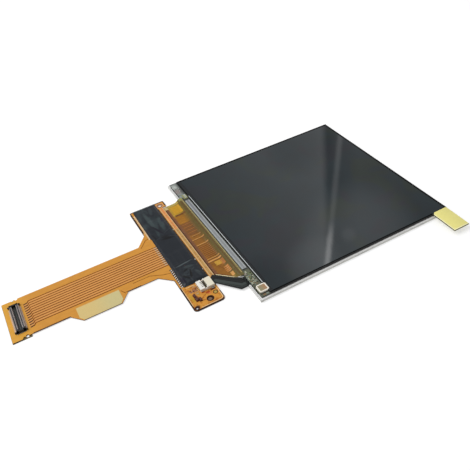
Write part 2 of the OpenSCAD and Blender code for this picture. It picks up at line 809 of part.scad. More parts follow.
rear_tray();
mould_frame();
reflector_sheet();
light_guide();
diffuser_sheet();
lower_prism_sheet();
upper_prism_sheet();
rim_tape();
backlight_leds();
led_flex();
rear_polarizer();
tft_glass();
colour_filter_glass();
front_polarizer();
protective_film();
pull_tab();
driver_chip();
ground_dot();
panel_film();
flex_board();
board_stiffener();
tail_stiffener();
board_tape();
chip_capacitors();
supply_chips();
tail_label();
lead_connector_body();
lead_connector_contacts();
lead_connector_nails();
lead_connector_flap();
tail_connector_body();
tail_connector_contacts();
tail_connector_nails();
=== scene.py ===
"""Looks of a small liquid crystal display module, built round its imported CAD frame.

Sizes in the operators are in millimetres, in the frame's own axes: +X points away from the tail,
+Z out of the screen. new_piece() turns them into metres.
"""

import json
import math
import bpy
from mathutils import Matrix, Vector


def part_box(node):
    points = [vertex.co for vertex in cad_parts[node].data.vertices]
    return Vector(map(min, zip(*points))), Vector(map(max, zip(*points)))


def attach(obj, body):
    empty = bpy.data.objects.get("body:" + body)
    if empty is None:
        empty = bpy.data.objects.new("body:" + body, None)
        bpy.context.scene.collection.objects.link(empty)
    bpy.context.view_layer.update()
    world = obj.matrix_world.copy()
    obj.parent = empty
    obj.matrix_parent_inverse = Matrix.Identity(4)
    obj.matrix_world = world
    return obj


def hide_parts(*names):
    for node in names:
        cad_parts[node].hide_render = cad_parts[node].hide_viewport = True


bl_info = {
    "name": "Display Module",
    "version": (1, 0, 0),
    "blender": (4, 5, 0),
    "location": "View3D > Sidebar > Display",
    "description": "Builds the finish of a small display module with its flexible board and connectors",
    "category": "Object",
}

from types import SimpleNamespace

import bmesh
import bpy
from bmesh.types import BMEdge, BMFace, BMVert
from mathutils import Quaternion, Vector, noise

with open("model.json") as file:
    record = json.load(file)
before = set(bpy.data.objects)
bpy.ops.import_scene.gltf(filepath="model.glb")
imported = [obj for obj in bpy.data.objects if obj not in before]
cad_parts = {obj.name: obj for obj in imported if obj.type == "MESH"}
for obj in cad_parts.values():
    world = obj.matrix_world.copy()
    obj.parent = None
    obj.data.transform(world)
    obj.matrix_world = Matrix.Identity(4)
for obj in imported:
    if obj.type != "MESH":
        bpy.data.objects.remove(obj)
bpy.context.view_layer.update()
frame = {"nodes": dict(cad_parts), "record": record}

MM = 0.001
MODULE = "module"
FLAP = "lock_flap"


# ---------------------------------------------------------------- places taken from the frame


def box_mm(node):
    """Lowest and highest corner of a CAD node, in millimetres."""
    low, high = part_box(node)
    return low / MM, high / MM


STIFFENER_OVER = 0.08  # how far the stiffeners stand out around the board
BOND_WIDTH = 1.1       # strip of the board that the amber film is bonded to
END_LOW_STEP = 0.45    # the tail's lower side stands in from its end tab by this
END_HIGH_STEP = 0.15   # and its far side stands out past the end tab by this
WINDOW_INSET = (2.35, 1.1)
WINDOW_RADIUS = 0.75
EAR_HOLE_RADIUS = 0.45
CORNER_HOLE_RADIUS = 0.3
CONTACT_PITCH = 0.5    # of the white connector

PANEL_LOW, PANEL_HIGH = box_mm("rear_tray")
FRAME_LOW, FRAME_HIGH = box_mm("mould_frame")
GLASS_LOW, GLASS_HIGH = box_mm("tft_glass")
FRONT_LOW, FRONT_HIGH = box_mm("colour_filter_glass")
FILM_LOW, FILM_HIGH = box_mm("panel_film")
CIRCUIT_LOW, CIRCUIT_HIGH = box_mm("flex_board")
PLATE_LOW, PLATE_HIGH = box_mm("board_stiffener")
END_LOW, END_HIGH = box_mm("tail_stiffener")
TAPE_LOW, TAPE_HIGH = box_mm("board_tape")
LEAD_LOW, LEAD_HIGH = box_mm("led_flex")
PLUG_LOW, PLUG_HIGH = box_mm("lead_connector_body")
SOCKET_LOW, SOCKET_HIGH = box_mm("tail_connector_body")
CHIP_LOW, CHIP_HIGH = box_mm("driver_chip")
DOT_LOW, DOT_HIGH = box_mm("ground_dot")
TAB_LOW, TAB_HIGH = box_mm("pull_tab")
LABEL_LOW, LABEL_HIGH = box_mm("tail_label")
FLAP_LOW, FLAP_HIGH = box_mm("lead_connector_flap")
POLARIZER_TOP = box_mm("front_polarizer")[1]

BOARD_TOP = CIRCUIT_HIGH.z
BOARD_LEFT = PLATE_LOW.x + STIFFENER_OVER
BOARD_RIGHT = FILM_LOW.x + BOND_WIDTH
BOARD_LOW = CIRCUIT_LOW.y
BOARD_HIGH = CIRCUIT_HIGH.y
FOOT_RIGHT = FILM_LOW.x
TAIL_HIGH = END_HIGH.y - STIFFENER_OVER + END_HIGH_STEP
TAIL_LOW = END_LOW.y + STIFFENER_OVER + END_LOW_STEP
TAIL_END = CIRCUIT_LOW.x
WINDOW = Vector((FOOT_RIGHT - WINDOW_INSET[0] - WINDOW_RADIUS, BOARD_LOW + WINDOW_INSET[1] + WINDOW_RADIUS))


def mount_place(name):
    """Place in plan of one of the record's mounts, in millimetres."""
    mount = next(m for m in frame["record"]["mounts"] if m["name"] == name)
    return Vector(mount["pos_m"][:2]) / MM


EAR_HOLE = mount_place("ear_locating_hole")
CORNER_HOLE = mount_place("corner_locating_hole")


# ---------------------------------------------------------------- colours


def linear(code):
    """Linear RGBA of an sRGB hex colour."""
    channels = [int(code[i:i + 2], 16) / 255 for i in (0, 2, 4)]
    return [c / 12.92 if c <= 0.04045 else ((c + 0.055) / 1.055) ** 2.4 for c in channels] + [1.0]


# ---------------------------------------------------------------- settings

COLOUR = {"size": 4, "subtype": "COLOR", "min": 0, "max": 1}
LENGTH = {"unit": "LENGTH", "precision": 5}


class ScreenSettings(bpy.types.PropertyGroup):
    """Sizes and colours of the panel."""

    dark: bpy.props.FloatVectorProperty(
        name="Screen", description="Colour of the polarizer behind its clear film",
        default=linear("00171F"), **COLOUR)
    rim: bpy.props.FloatVectorProperty(
        name="Frame", description="Colour of the moulded frame round the glass",
        default=linear("FAFAF8"), **COLOUR)
    tab: bpy.props.FloatVectorProperty(
        name="Pull tab", description="Colour of the pull tab", default=linear("F5EC90"), **COLOUR)
    tab_droop: bpy.props.FloatProperty(
        name="Tab droop", description="How far the pull tab's free end hangs down",
        default=0.18 * MM, min=0, max=0.8 * MM, **LENGTH)
    stamp_depth: bpy.props.FloatProperty(
        name="Tray stamping", description="Depth of the panel stamped into the tray's back",
        default=0.05 * MM, min=0, max=0.1 * MM, **LENGTH)


class CircuitSettings(bpy.types.PropertyGroup):
    """Sizes and colours of the flexible circuit."""

    board: bpy.props.FloatVectorProperty(
        name="Board", description="Colour of the board's cover film", default=linear("D8963C"), **COLOUR)
    conductor: bpy.props.FloatVectorProperty(
        name="Conductors", description="Colour of the copper seen through the cover film",
        default=linear("DD9B52"), **COLOUR)
    gap: bpy.props.FloatVectorProperty(
        name="Gaps", description="Colour of the film between the conductors",
        default=linear("7A3C06"), **COLOUR)
    amber: bpy.props.FloatVectorProperty(
        name="Amber film", description="Colour of the film bonded to the glass",
        default=linear("94601E"), **COLOUR)
    pitch: bpy.props.FloatProperty(
        name="Conductor pitch", description="Distance between the tail's conductors",
        default=0.82 * MM, min=0.4 * MM, max=1.2 * MM, **LENGTH)
    gap_width: bpy.props.FloatProperty(
        name="Gap width", description="Width of the dark film between two conductors",
        default=0.25 * MM, min=0.05 * MM, max=1.0 * MM, **LENGTH)
    gaps: bpy.props.IntProperty(
        name="Gap count", description="Number of dark gaps between the tail's conductors",
        default=11, min=2, max=14)


class TapeSettings(bpy.types.PropertyGroup):
    """Size and colour of the black tape."""

    colour: bpy.props.FloatVectorProperty(
        name="Tape", description="Colour of the tape over the components", default=linear("1E232A"), **COLOUR)
    wrinkle: bpy.props.FloatProperty(
        name="Wrinkles", description="Height of the tape's wrinkles",
        default=0.05 * MM, min=0, max=0.15 * MM, **LENGTH)


class StageSettings(bpy.types.PropertyGroup):
    """Camera and light."""

    azimuth: bpy.props.FloatProperty(
        name="Azimuth", description="Direction that the camera looks in, from +Y",
        default=math.radians(-23.35), subtype="ANGLE")
    elevation: bpy.props.FloatProperty(
        name="Elevation", description="Height of the camera above the horizon",
        default=math.radians(40.45), subtype="ANGLE")
    roll: bpy.props.FloatProperty(
        name="Roll", description="Turn of the camera about its own line of sight",
        default=math.radians(-7.86), subtype="ANGLE")
    distance: bpy.props.FloatProperty(
        name="Distance", description="Distance from the camera to its aim",
        default=146.3 * MM, min=0.05, **LENGTH)
    aim: bpy.props.FloatVectorProperty(
        name="Aim", description="Point that the camera looks at",
        default=(-22.55 * MM, -4.5 * MM, 1.5 * MM), subtype="XYZ", **LENGTH)
    lens: bpy.props.FloatProperty(
        name="Lens", description="Focal length on a 36 mm sensor", default=43.54, min=10)
    room: bpy.props.FloatProperty(
        name="Room light", description="Strength of the even light from all round", default=0.42, min=0)
    lamp: bpy.props.FloatProperty(
        name="Lamp", description="Power of the wide soft lamp beside the panel",
        default=5.7, min=0, unit="POWER")


# ---------------------------------------------------------------- material tools


def add_node(tree, kind, settings=None, inputs=None):
    """Adds a shader node, with its own settings, and its inputs by name or number.

    kind is the node's type without ShaderNode. A socket is linked, and a hex colour is turned linear.
    """
    node = tree.nodes.new("ShaderNode" + kind)
    for name, value in (settings or {}).items():
        setattr(node, name, value)
    for name, value in (inputs or {}).items():
        if isinstance(value, bpy.types.NodeSocket):
            tree.links.new(value, node.inputs[name])
        else:
            node.inputs[name].default_value = linear(value) if isinstance(value, str) else value
    return node


def start_material(name, colour, grain, variation=0.08, bump=0.0, rough=0.45, stretch=(1, 1, 1),
                   gloss=0.5, **shader):
    """A surface whose colour and roughness vary with a noise of the given grain in millimetres.

    bump is the height of that grain in millimetres, stretch draws it out along an axis, and gloss is
    the specular level.
    """
    material = bpy.data.materials.new(name)
    material.use_nodes = True
    tree = material.node_tree
    tree.nodes.clear()
    place = add_node(tree, "TexCoord").outputs["Object"]
    spread = add_node(tree, "Mapping", inputs={"Vector": place, "Scale": stretch})
    grains = add_node(tree, "TexNoise", inputs={
        "Vector": spread.outputs["Vector"], "Scale": per_mm(grain), "Detail": 3.0, "Roughness": 0.6})
    level = add_node(tree, "MapRange", inputs={
        "Value": grains.outputs["Fac"], "From Min": 0.3, "From Max": 0.7,
        "To Min": 1 - variation, "To Max": 1 + variation})
    tint = add_node(tree, "HueSaturation", inputs={"Color": colour, "Value": level.outputs["Result"]})
    sheen = add_node(tree, "MapRange", inputs={
        "Value": grains.outputs["Fac"], "To Min": rough * 0.85, "To Max": rough * 1.15})
    surface = add_node(tree, "BsdfPrincipled", inputs={
        "Base Color": tint.outputs["Color"], "Roughness": sheen.outputs["Result"],
        "Specular IOR Level": gloss, **shader})
    if bump:
        relief = add_node(tree, "Bump", inputs={
            "Height": grains.outputs["Fac"], "Distance": bump * MM, "Strength": 1.0})
        tree.links.new(relief.outputs["Normal"], surface.inputs["Normal"])
    add_node(tree, "OutputMaterial", inputs={"Surface": surface.outputs["BSDF"]})
    return SimpleNamespace(material=material, tree=tree, place=place, tint=tint, colour=colour)


def per_mm(size):
    """Scale of a noise on Object coordinates whose features are this many millimetres."""
    return 1 / (size * MM)


def paint(look, where, colour):
    """Lays a colour on a surface, under its grain, where an output is 1."""
    mix = add_node(look.tree, "Mix", {"data_type": "RGBA"}, {0: where, 6: look.colour, 7: colour})
    look.colour = mix.outputs[2]
    look.tree.links.new(look.colour, look.tint.inputs["Color"])


def past(look, axis, start, end, full=1.0):
    """Output that goes from 0 at start to full at end, in millimetres along an axis."""
    parts = add_node(look.tree, "SeparateXYZ", inputs={"Vector": look.place})
    ramp = add_node(look.tree, "MapRange", {"interpolation_type": "SMOOTHSTEP"}, {
        "Value": parts.outputs[axis], "From Min": start * MM, "From Max": end * MM, "To Max": full})
    return ramp.outputs["Result"]


def paint_band(look, axis, start, end, colour, soft=0.8):
    """Lays a colour between two places along an axis, in millimetres, with soft ends."""
    rise = past(look, axis, start - soft / 2, start + soft / 2)
    paint(look, past(look, axis, end + soft / 2, end - soft / 2, rise), colour)


def paint_side_shade(look, colour):
    """Lays a darker colour, painted shade, on the cut edges, where a face doesn't lie flat."""
    way = add_node(look.tree, "NewGeometry").outputs["Normal"]
    parts = add_node(look.tree, "SeparateXYZ", inputs={"Vector": way})
    up = add_node(look.tree, "Math", {"operation": "ABSOLUTE"}, {0: parts.outputs["Z"]})
    steep = add_node(look.tree, "MapRange", inputs={
        "Value": up.outputs["Value"], "From Min": 0.8, "From Max": 0.55})
    paint(look, steep.outputs["Result"], colour)


def paint_streaks(look, marks):
    """Lays soft marks on a surface, in millimetres: x and y from, x and y to, width, strength, colour."""
    for x0, y0, x1, y1, width, strength, colour in marks:
        start, end = Vector((x0, y0)), Vector((x1, y1))
        middle = (start + end) / 2 * MM
        along = end - start
        fit = add_node(look.tree, "Mapping", {"vector_type": "TEXTURE"}, {
            "Vector": look.place, "Location": (middle.x, middle.y, 0),
            "Rotation": (0, 0, math.atan2(along.y, along.x)),
            "Scale": ((along.length / 2 + width / 2) * MM, width * MM, 1)})
        round_mark = add_node(look.tree, "TexGradient", {"gradient_type": "SPHERICAL"}, {
            "Vector": fit.outputs["Vector"]})
        level = add_node(look.tree, "MapRange", {"interpolation_type": "SMOOTHSTEP"}, {
            "Value": round_mark.outputs["Fac"], "To Max": strength, "From Max": 0.6})
        paint(look, level.outputs["Result"], colour)


def clouds(look, grain, low, high, stretch=(1, 1, 1), shift=(0, 0, 0), full=1.0):
    """Output of soft patches of the given size in millimetres: 0 below low and full above high."""
    spread = add_node(look.tree, "Mapping", inputs={
        "Vector": look.place, "Scale": stretch, "Location": [s * MM for s in shift]})
    patches = add_node(look.tree, "TexNoise", inputs={
        "Vector": spread.outputs["Vector"], "Scale": per_mm(grain), "Detail": 2.0, "Distortion": 0.8})
    level = add_node(look.tree, "MapRange", {"interpolation_type": "SMOOTHSTEP"}, {
        "Value": patches.outputs["Fac"], "From Min": low, "From Max": high, "To Max": full})
    return level.outputs["Result"]


# ---------------------------------------------------------------- materials of the panel


def stamped_steel():
    # Thin stainless sheet, rolled: a soft metal with fine lines along the rolling direction
    return start_material("rolled_stainless_steel", "C4C3BE", grain=0.12, variation=0.06, bump=0.002,
                          rough=0.38, stretch=(0.06, 1, 1), Metallic=1.0).material


def moulded_white(name, colour, sides="F6F6F3"):
    # White polycarbonate or nylon, moulded: a satin skin with a fine spark-eroded texture, and painted shade
    # on its sides
    look = start_material(name, colour, grain=0.08, variation=0.03, bump=0.001, rough=0.5)
    paint_side_shade(look, sides)
    return look.material


def clear_sheet(name, code, rough):
    # Optical PET or acrylic sheet: pale and slightly cloudy
    return start_material(name, code, grain=0.3, variation=0.03, rough=rough, IOR=1.49,
                          **{"Transmission Weight": 0.4}).material


def dark_polarizer():
    # Stretched polyvinyl alcohol between acetate films: near black, with an anti-reflection skin
    return start_material("polarizer_film", "171B1E", grain=6, variation=0.05, rough=0.15, gloss=0.3).material


def screen_film(colour):
    # Clear PET protective film lying on the dark polarizer: smooth, with slow shallow waves and faint
    # green and violet clouds where the two touch
    look = start_material("protective_pet_film", colour, grain=5, variation=0.22, bump=0.003,
                          rough=0.035, stretch=(1, 0.6, 1), IOR=1.5)
    paint(look, clouds(look, 13, 0.5, 0.64), "0A1B14")
    paint(look, clouds(look, 9, 0.52, 0.66, shift=(40, 9, 0)), "0A121D")
    return look.material


def front_glass():
    # Colour filter glass: its border carries a black matrix that takes nearly all light
    return start_material("black_matrix_glass", "08090B", grain=2, variation=0.05, rough=0.12,
                          gloss=0.2).material


def ledge_glass():
    # Bare rear glass over a dark backing: olive grey by the lead, nearly black along the chip, and at the
    # far end, where no tracks lie under it, a cloudy grey, with painted shade that darkens it towards the
    # front glass and painted shade on the glass's sides
    look = start_material("tracked_glass", "33362F", grain=0.22, variation=0.22, bump=0.001,
                          rough=0.22, stretch=(1, 0.5, 1), IOR=1.52)
    low, high, film = GLASS_LOW.y, GLASS_HIGH.y, FILM_HIGH.y
    paint_band(look, "Y", low - 1, CHIP_LOW.y - 0.4, "5A5E4A")
    paint_band(look, "Y", film - 0.2, high + 1, "8C928D")
    paint_band(look, "Y", high - 2.8, high - 0.6, "B0B6B0")
    paint_band(look, "Y", high - 5.6, high - 3.4, "8F8580", 1.2)
    past_film = past(look, "Y", film, film + 1)
    paint(look, clouds(look, 1.6, 0.56, 0.74, full=past_film), "626C68")
    # Painted shade: the far end darker towards the front glass
    paint(look, past(look, "X", FRONT_LOW.x - 1.3, FRONT_LOW.x, past_film), "3A4040")
    # Painted shade on the glass's sides
    paint_side_shade(look, "0E1011")
    return look.material


def aluminium_track(name, code):
    # Sputtered aluminium on glass: thin and bright
    return start_material(name, code, grain=0.1, variation=0.12, rough=0.3, Metallic=0.3).material


def chip_silicon():
    # Bare silicon, ground and polished on its back: a cool speckled grey, with painted highlights along its
    # two long edges
    look = start_material("polished_silicon", "8B8F91", grain=0.22, variation=0.2, bump=0.001, rough=0.3)
    paint(look, past(look, "Y", 2, 11), "7B7D84")
    # Pale strips along both long edges: painted highlights
    paint(look, past(look, "X", CHIP_LOW.x + 0.425, CHIP_LOW.x + 0.175), "A9AEAE")
    paint(look, past(look, "X", CHIP_HIGH.x - 0.425, CHIP_HIGH.x - 0.175), "A9AEAE")
    return look.material


def dot_rim():
    # Cured silver paste: pale and slightly grainy
    return start_material("silver_paste", "F8F2E4", grain=0.08, variation=0.05, bump=0.002).material


def dot_centre():
    # Resin filled with copper powder: brown pink and matt
    look = start_material("copper_paste", "9A9272", grain=0.07, variation=0.12, bump=0.005, rough=0.6)
    paint(look, past(look, "X", DOT_LOW.x + 0.6, DOT_HIGH.x - 0.6), "A8835F")
    return look.material


def tab_paper(colour):
    # Glazed yellow release paper: a soft sheen over short fibres, pale along its border, with a line of
    # painted shade along its low X and low Y edges and painted shade on its sides
    look = start_material("glazed_release_paper", colour, grain=0.35, variation=0.04, bump=0.002,
                          rough=0.42, stretch=(1, 0.4, 1))
    # Along the low X and low Y edges: a pale band, and nearer the edge a dark line of painted shade
    for inset, code in ((0.55, "FFF9C0"), (0.24, "4E4A2A")):
        for axis, start in (("X", TAB_LOW.x), ("Y", TAB_LOW.y)):
            paint(look, past(look, axis, start + inset, start + inset - 0.08), code)
    # Painted shade on the sides
    paint_side_shade(look, "5E5A3A")
    return look.material


def lamp_resin():
    # Phosphor-filled silicone in the lamps' windows: opaque yellow
    return start_material("phosphor_silicone", "E9D66A", grain=0.1, variation=0.06, rough=0.5).material


# ---------------------------------------------------------------- materials of the circuit


def amber_polyimide(colour):
    # Polyimide with copper behind it: clear amber, brown by the board, olive where it rises to the glass
    # and golden in the corner where no copper backs it
    look = start_material("amber_polyimide", colour, grain=0.5, variation=0.14, bump=0.002, rough=0.26,
                          stretch=(0.4, 1, 1), gloss=0.3)
    left, glass, far = FILM_LOW.x, GLASS_LOW.x, FILM_HIGH.y
    for start, end, code, soft in (
            (9.2, 13.2, "A56E18", 0.6), (3.4, 9.2, "865628", 0.8), (13.2, 18.8, "B8902C", 0.5),
            (FILM_LOW.y - 1, -15.6, "B08C20", 1.6)):
        paint_band(look, "Y", start, end, code, soft)
    paint(look, past(look, "X", left + 2.3, left + 1.9), "7E5234")
    paint(look, past(look, "X", glass - 2.8, glass - 0.5), "5E5222")
    paint(look, past(look, "X", glass - 0.35, glass - 0.1), "6A6036")
    over_glass = past(look, "X", glass - 0.9, glass - 0.5)
    paint(look, past(look, "Y", far - 1.6, far - 0.6, over_glass), "969656")
    return look.material


def film_copper(name, code):
    # Copper track seen through amber film: brown to gold, with a soft shine that wanders a little
    return start_material(name, code, grain=0.3, variation=0.14, bump=0.001, rough=0.3, gloss=0.3).material


def board_film(colour):
    # Polyimide cover film over etched copper: warm orange, yellower past the last conductor, with
    # redder clouds and stains in the wiring area, and painted shade on its cut sides
    look = start_material("orange_cover_film", colour, grain=0.9, variation=0.06, bump=0.0015, rough=0.36,
                          stretch=(0.5, 1, 1), gloss=0.25)
    paint(look, past(look, "X", TAIL_END + 7, TAIL_END + 2), "E2A63E")
    redder = clouds(look, 0.9, 0.46, 0.64, shift=(3, 1, 0))
    paint(look, past(look, "Y", TAPE_LOW.y + 0.4, TAPE_LOW.y - 0.4, redder), "B0671E")
    paint_streaks(look, (
        (-41.2, -15.5, -41.0, -19.4, 0.5, 0.8, "C8A030"), (-40.4, -15.3, -38.7, -15.5, 0.7, 0.7, "7E5C58"),
        (-40.4, -16.6, -40.0, -18.8, 0.45, 0.9, "5A3820"), (-39.4, -16.0, -39.0, -17.6, 0.4, 0.6, "9A8428"),
        (-38.3, -17.0, -37.6, -16.9, 0.5, 0.8, "8E2418"), (-36.9, -17.7, -36.7, -18.3, 0.5, 0.7, "DC7848"),
        (-41.3, -20.3, -41.0, -20.9, 0.9, 0.9, "3A1A14")))
    # Painted shade on the board's sides
    paint_side_shade(look, "4A260C")
    return look.material


def covered_copper(name, code, grain=0.5, variation=0.08, gloss=0.25):
    # Copper under the cover film, or the bare film beside it: satin, drawn out along the conductors
    return start_material(name, code, grain, variation, bump=0.001, rough=0.36, stretch=(0.2, 1, 1),
                          gloss=gloss).material


def dark_laminate(name="dark_epoxy_laminate", code="33241C"):
    # Glass-filled epoxy stiffener: matt with a faint weave
    return start_material(name, code, grain=0.25, variation=0.14, bump=0.003, rough=0.55).material


def black_polyester(colour):
    # Black polyester tape: satin and even over the middle; at both ends painted sheen lightens its folds and
    # painted shade darkens its creases
    look = start_material("black_polyester_tape", colour, grain=1.6, variation=0.06, bump=0.002,
                          rough=0.32, gloss=0.25)
    # Lighter cloudy patches at both ends: painted sheen
    paint(look, past(look, "Y", 6.0, 8.0, clouds(look, 3.0, 0.5, 0.7, (1, 0.4, 1), (1, 2, 0))), "2E393D")
    paint(look, past(look, "Y", -5.4, -6.2, clouds(look, 2.0, 0.5, 0.66, shift=(2, 3, 0))), "30373B")
    # Along the folds: painted highlights in the greys and painted shade in the near blacks
    paint_streaks(look, (
        (-39.2, 20.5, -38.6, 9.5, 0.8, 0.8, "3E4A4C"), (-36.0, 16.0, -36.8, 8.6, 0.9, 0.7, "3C4A4C"),
        (-36.6, 21.0, -37.4, 17.0, 0.7, 0.5, "3C464A"), (-39.5, 13.0, -37.5, 7.6, 0.45, 0.9, "14101E"),
        (-35.4, 15.2, -36.0, 12.4, 0.45, 0.8, "1A1630"), (-40.6, 9.5, -40.2, 6.4, 0.5, 0.7, "0C0E12"),
        (-39.4, 6.0, -35.3, 5.2, 0.6, 1.0, "050609"), (-38.8, 7.0, -36.6, 6.3, 0.7, 0.9, "08090F"),
        (-40.9, -6.2, -35.0, -5.5, 0.3, 0.9, "50595B"), (-38.8, -7.2, -36.0, -7.6, 0.7, 0.6, "3C4648"),
        (-40.9, -9.6, -40.2, -12.8, 0.7, 0.9, "120E20"), (-40.3, -9.4, -38.4, -11.8, 0.4, 1.0, "030406"),
        (-38.4, -11.8, -37.4, -8.4, 0.4, 1.0, "030406"), (-36.6, -9.0, -35.8, -12.4, 0.5, 0.5, "3A4244"),
        (-39.3, -8.6, -37.9, -8.0, 0.4, 0.8, "08090C")))
    return look.material


def black_cover(name="black_cover_film", code="1C2020"):
    # Black cover film of the backlight lead: satin, a little green
    return start_material(name, code, grain=0.5, variation=0.1, bump=0.002, rough=0.38, gloss=0.3).material


def label_paper():
    # Uncoated yellow label paper: matt, a little greener towards one end
    look = start_material("label_paper", "DCC27E", grain=0.3, variation=0.04, bump=0.003, rough=0.65)
    paint(look, past(look, "X", LABEL_LOW.x + 3, LABEL_HIGH.x - 2), "D2C48A")
    return look.material


def ceramic(name, code):
    # Sintered ceramic body: fine and slightly waxy
    return start_material(name, code, grain=0.12, bump=0.003, rough=0.4).material


def tarnished_solder():
    # Reflowed solder under a flux skin: dark purple brown with a dull shine
    return start_material("tarnished_solder", "6A3E3A", grain=0.1, variation=0.2, bump=0.003, rough=0.35,
                          Metallic=0.5).material


def tin_plate(name="matt_tin", code="C9C7C0", metal=0.9):
    # Matt tin plating: a pale grey metal, a little uneven
    return start_material(name, code, grain=0.1, bump=0.002, rough=0.35, Metallic=metal).material


def gold_plate(name="gold_flash", code="DDBE84", metal=0.9):
    # Thin gold over nickel: pale yellow and bright
    return start_material(name, code, grain=0.1, variation=0.07, bump=0.001, rough=0.28,
                          Metallic=metal).material


def black_resin(name, code, rough=0.45):
    # Liquid crystal polymer or moulded epoxy: dark grey with a fine flow texture
    return start_material(name, code, grain=0.12, variation=0.1, bump=0.002, rough=rough).material


# ---------------------------------------------------------------- mesh tools


AXES = (Vector((1, 0, 0)), Vector((0, 1, 0)), Vector((0, 0, 1)))
CLOSE = 1e-4                     # two places nearer than this are the same
MITRE_LIMIT = 0.4                # keeps the corner of a sharp bend short
ROUNDED_FROM = math.radians(40)  # edges of a CAD node sharper than this are rounded


def only(geom, kind):
    """The parts of a mesh operator's result that are of one kind."""
    return [part for part in geom if isinstance(part, kind)]


def block(bm, low, high, edge=0.0, finish=0):
    """Adds a box between two corners, with its edges rounded by edge."""
    low, high = Vector(low), Vector(high)
    corners = bmesh.ops.create_cube(bm, size=1.0)["verts"]
    bmesh.ops.scale(bm, vec=high - low, verts=corners)
    bmesh.ops.translate(bm, vec=(low + high) / 2, verts=corners)
    for face in {f for v in corners for f in v.link_faces}:
        face.material_index = finish
    if edge:
        bmesh.ops.bevel(bm, geom=list({e for v in corners for e in v.link_edges}), offset=edge,
                        offset_type="OFFSET", segments=2, profile=0.5, affect="EDGES", material=-1)


def blocks(bm, low, high, rows):
    """Adds flat blocks between two heights: x from, x to, y from, y to, finish."""
    for x0, x1, y0, y1, finish in rows:
        block(bm, (x0, y0, low), (x1, y1, high), finish=finish)


def plate(bm, outline, low, high, corner=0.0, edge=0.0):
    """Adds a flat plate with an outline of (x, y) points, its corners and its top edge rounded."""
    points = [bm.verts.new((x, y, low)) for x, y in outline]
    face = bm.faces.new(points)
    if corner:
        made = bmesh.ops.bevel(bm, geom=points, offset=corner, offset_type="OFFSET", segments=5,
                               profile=0.5, affect="VERTICES", material=-1)
        face = next(f for f in bm.faces if f.is_valid and set(made["verts"]) <= set(f.verts))
    grown = bmesh.ops.extrude_face_region(bm, geom=[face])["geom"]
    bmesh.ops.translate(bm, vec=(0, 0, high - low), verts=only(grown, BMVert))
    if edge:
        bmesh.ops.bevel(bm, geom=list(only(grown, BMFace)[0].edges), offset=edge, offset_type="OFFSET",
                        segments=2, profile=0.5, affect="EDGES", material=-1)


def grid(bm, low, high, columns, rows):
    """Adds a flat grid of faces between two corners in plan."""
    bmesh.ops.create_grid(bm, x_segments=columns, y_segments=rows, size=0.5)
    bmesh.ops.scale(bm, vec=(high.x - low.x, high.y - low.y, 1), verts=bm.verts)
    middle = (low + high) / 2
    bmesh.ops.translate(bm, vec=(middle.x, middle.y, 0), verts=bm.verts)


def ring(bm, centre, inner, outer, low, high, finish):
    """Adds a flat ring round a point in plan."""
    rim = bmesh.ops.create_circle(bm, radius=outer, segments=32)["verts"]
    edges = list({e for v in rim for e in v.link_edges})
    inward = bmesh.ops.extrude_edge_only(bm, edges=edges)["geom"]
    hole = only(inward, BMVert)
    bmesh.ops.scale(bm, vec=(inner / outer, inner / outer, 1), verts=hole)
    bmesh.ops.translate(bm, vec=(centre[0], centre[1], low), verts=rim + hole)
    raise_faces(bm, only(inward, BMFace), high - low, finish)


def disc(bm, centre, radius, low, high, finish):
    """Adds a flat disc."""
    rim = bmesh.ops.create_circle(bm, cap_ends=True, radius=radius, segments=24)["verts"]
    bmesh.ops.translate(bm, vec=(centre[0], centre[1], low), verts=rim)
    raise_faces(bm, list({f for v in rim for f in v.link_faces}), high - low, finish)


def raise_faces(bm, faces, height, finish=0):
    """Gives an open patch of faces a thickness, upwards."""
    for face in faces:
        face.material_index = finish
    grown = bmesh.ops.extrude_face_region(bm, geom=faces)["geom"]
    bmesh.ops.translate(bm, vec=(0, 0, height), verts=only(grown, BMVert))


def cut_faces(bm, faces, way, place):
    """Cuts faces along the plane across a direction, at a place along it."""
    geom = faces + list({e for f in faces for e in f.edges}) + list({v for f in faces for v in f.verts})
    bmesh.ops.bisect_plane(bm, geom=geom, dist=1e-5, plane_co=way * place, plane_no=way)


def sweep_edge(bm, pairs):
    """Extrudes an edge from one pair of points to the next, and returns the faces."""
    tips = [bm.verts.new(p) for p in pairs[0]]
    edge = bm.edges.new(tips)
    faces = []
    for pair in pairs[1:]:
        made = bmesh.ops.extrude_edge_only(bm, edges=[edge])["geom"]
        new_tips = only(made, BMVert)
        if not any(e.other_vert(tips[0]) is new_tips[0] for e in tips[0].link_edges):
            new_tips.reverse()
        for tip, place in zip(new_tips, pair):
            tip.co = place
        edge = next(e for e in only(made, BMEdge) if set(e.verts) == set(new_tips))
        faces += only(made, BMFace)
        tips = new_tips
    return faces


def ribbon(bm, route, width, low, high, finish=0):
    """Adds a flat strip along a route of (x, y) points, with mitred bends."""
    points = [Vector(p) for p in route]
    legs = [(b - a).normalized() for a, b in zip(points, points[1:])]
    pairs = []
    for i, point in enumerate(points):
        before, after = legs[max(i - 1, 0)], legs[min(i, len(legs) - 1)]
        across = Vector((-(before + after).y, (before + after).x)).normalized()
        reach = width / 2 / max(across.dot(Vector((-after.y, after.x))), MITRE_LIMIT)
        left, right = point + across * reach, point - across * reach
        pairs.append(((left.x, left.y, low), (right.x, right.y, low)))
    raise_faces(bm, sweep_edge(bm, pairs), high - low, finish)


def solid_boxes(node):
    """Lowest and highest corner, in millimetres, of each separate solid in a CAD node."""
    bm = bmesh.new()
    bm.from_mesh(frame["nodes"][node].data)
    bmesh.ops.remove_doubles(bm, verts=bm.verts, dist=1e-6)
    left = set(bm.verts)
    boxes = []
    for start in list(bm.verts):
        if start not in left:
            continue
        left.discard(start)
        island, front = [], [start]
        while front:
            vert = front.pop()
            island.append(vert.co / MM)
            for edge in vert.link_edges:
                other = edge.other_vert(vert)
                if other in left:
                    left.discard(other)
                    front.append(other)
        boxes.append([Vector(pick(co[i] for co in island) for i in range(3)) for pick in (min, max)])
    bm.free()
    return boxes


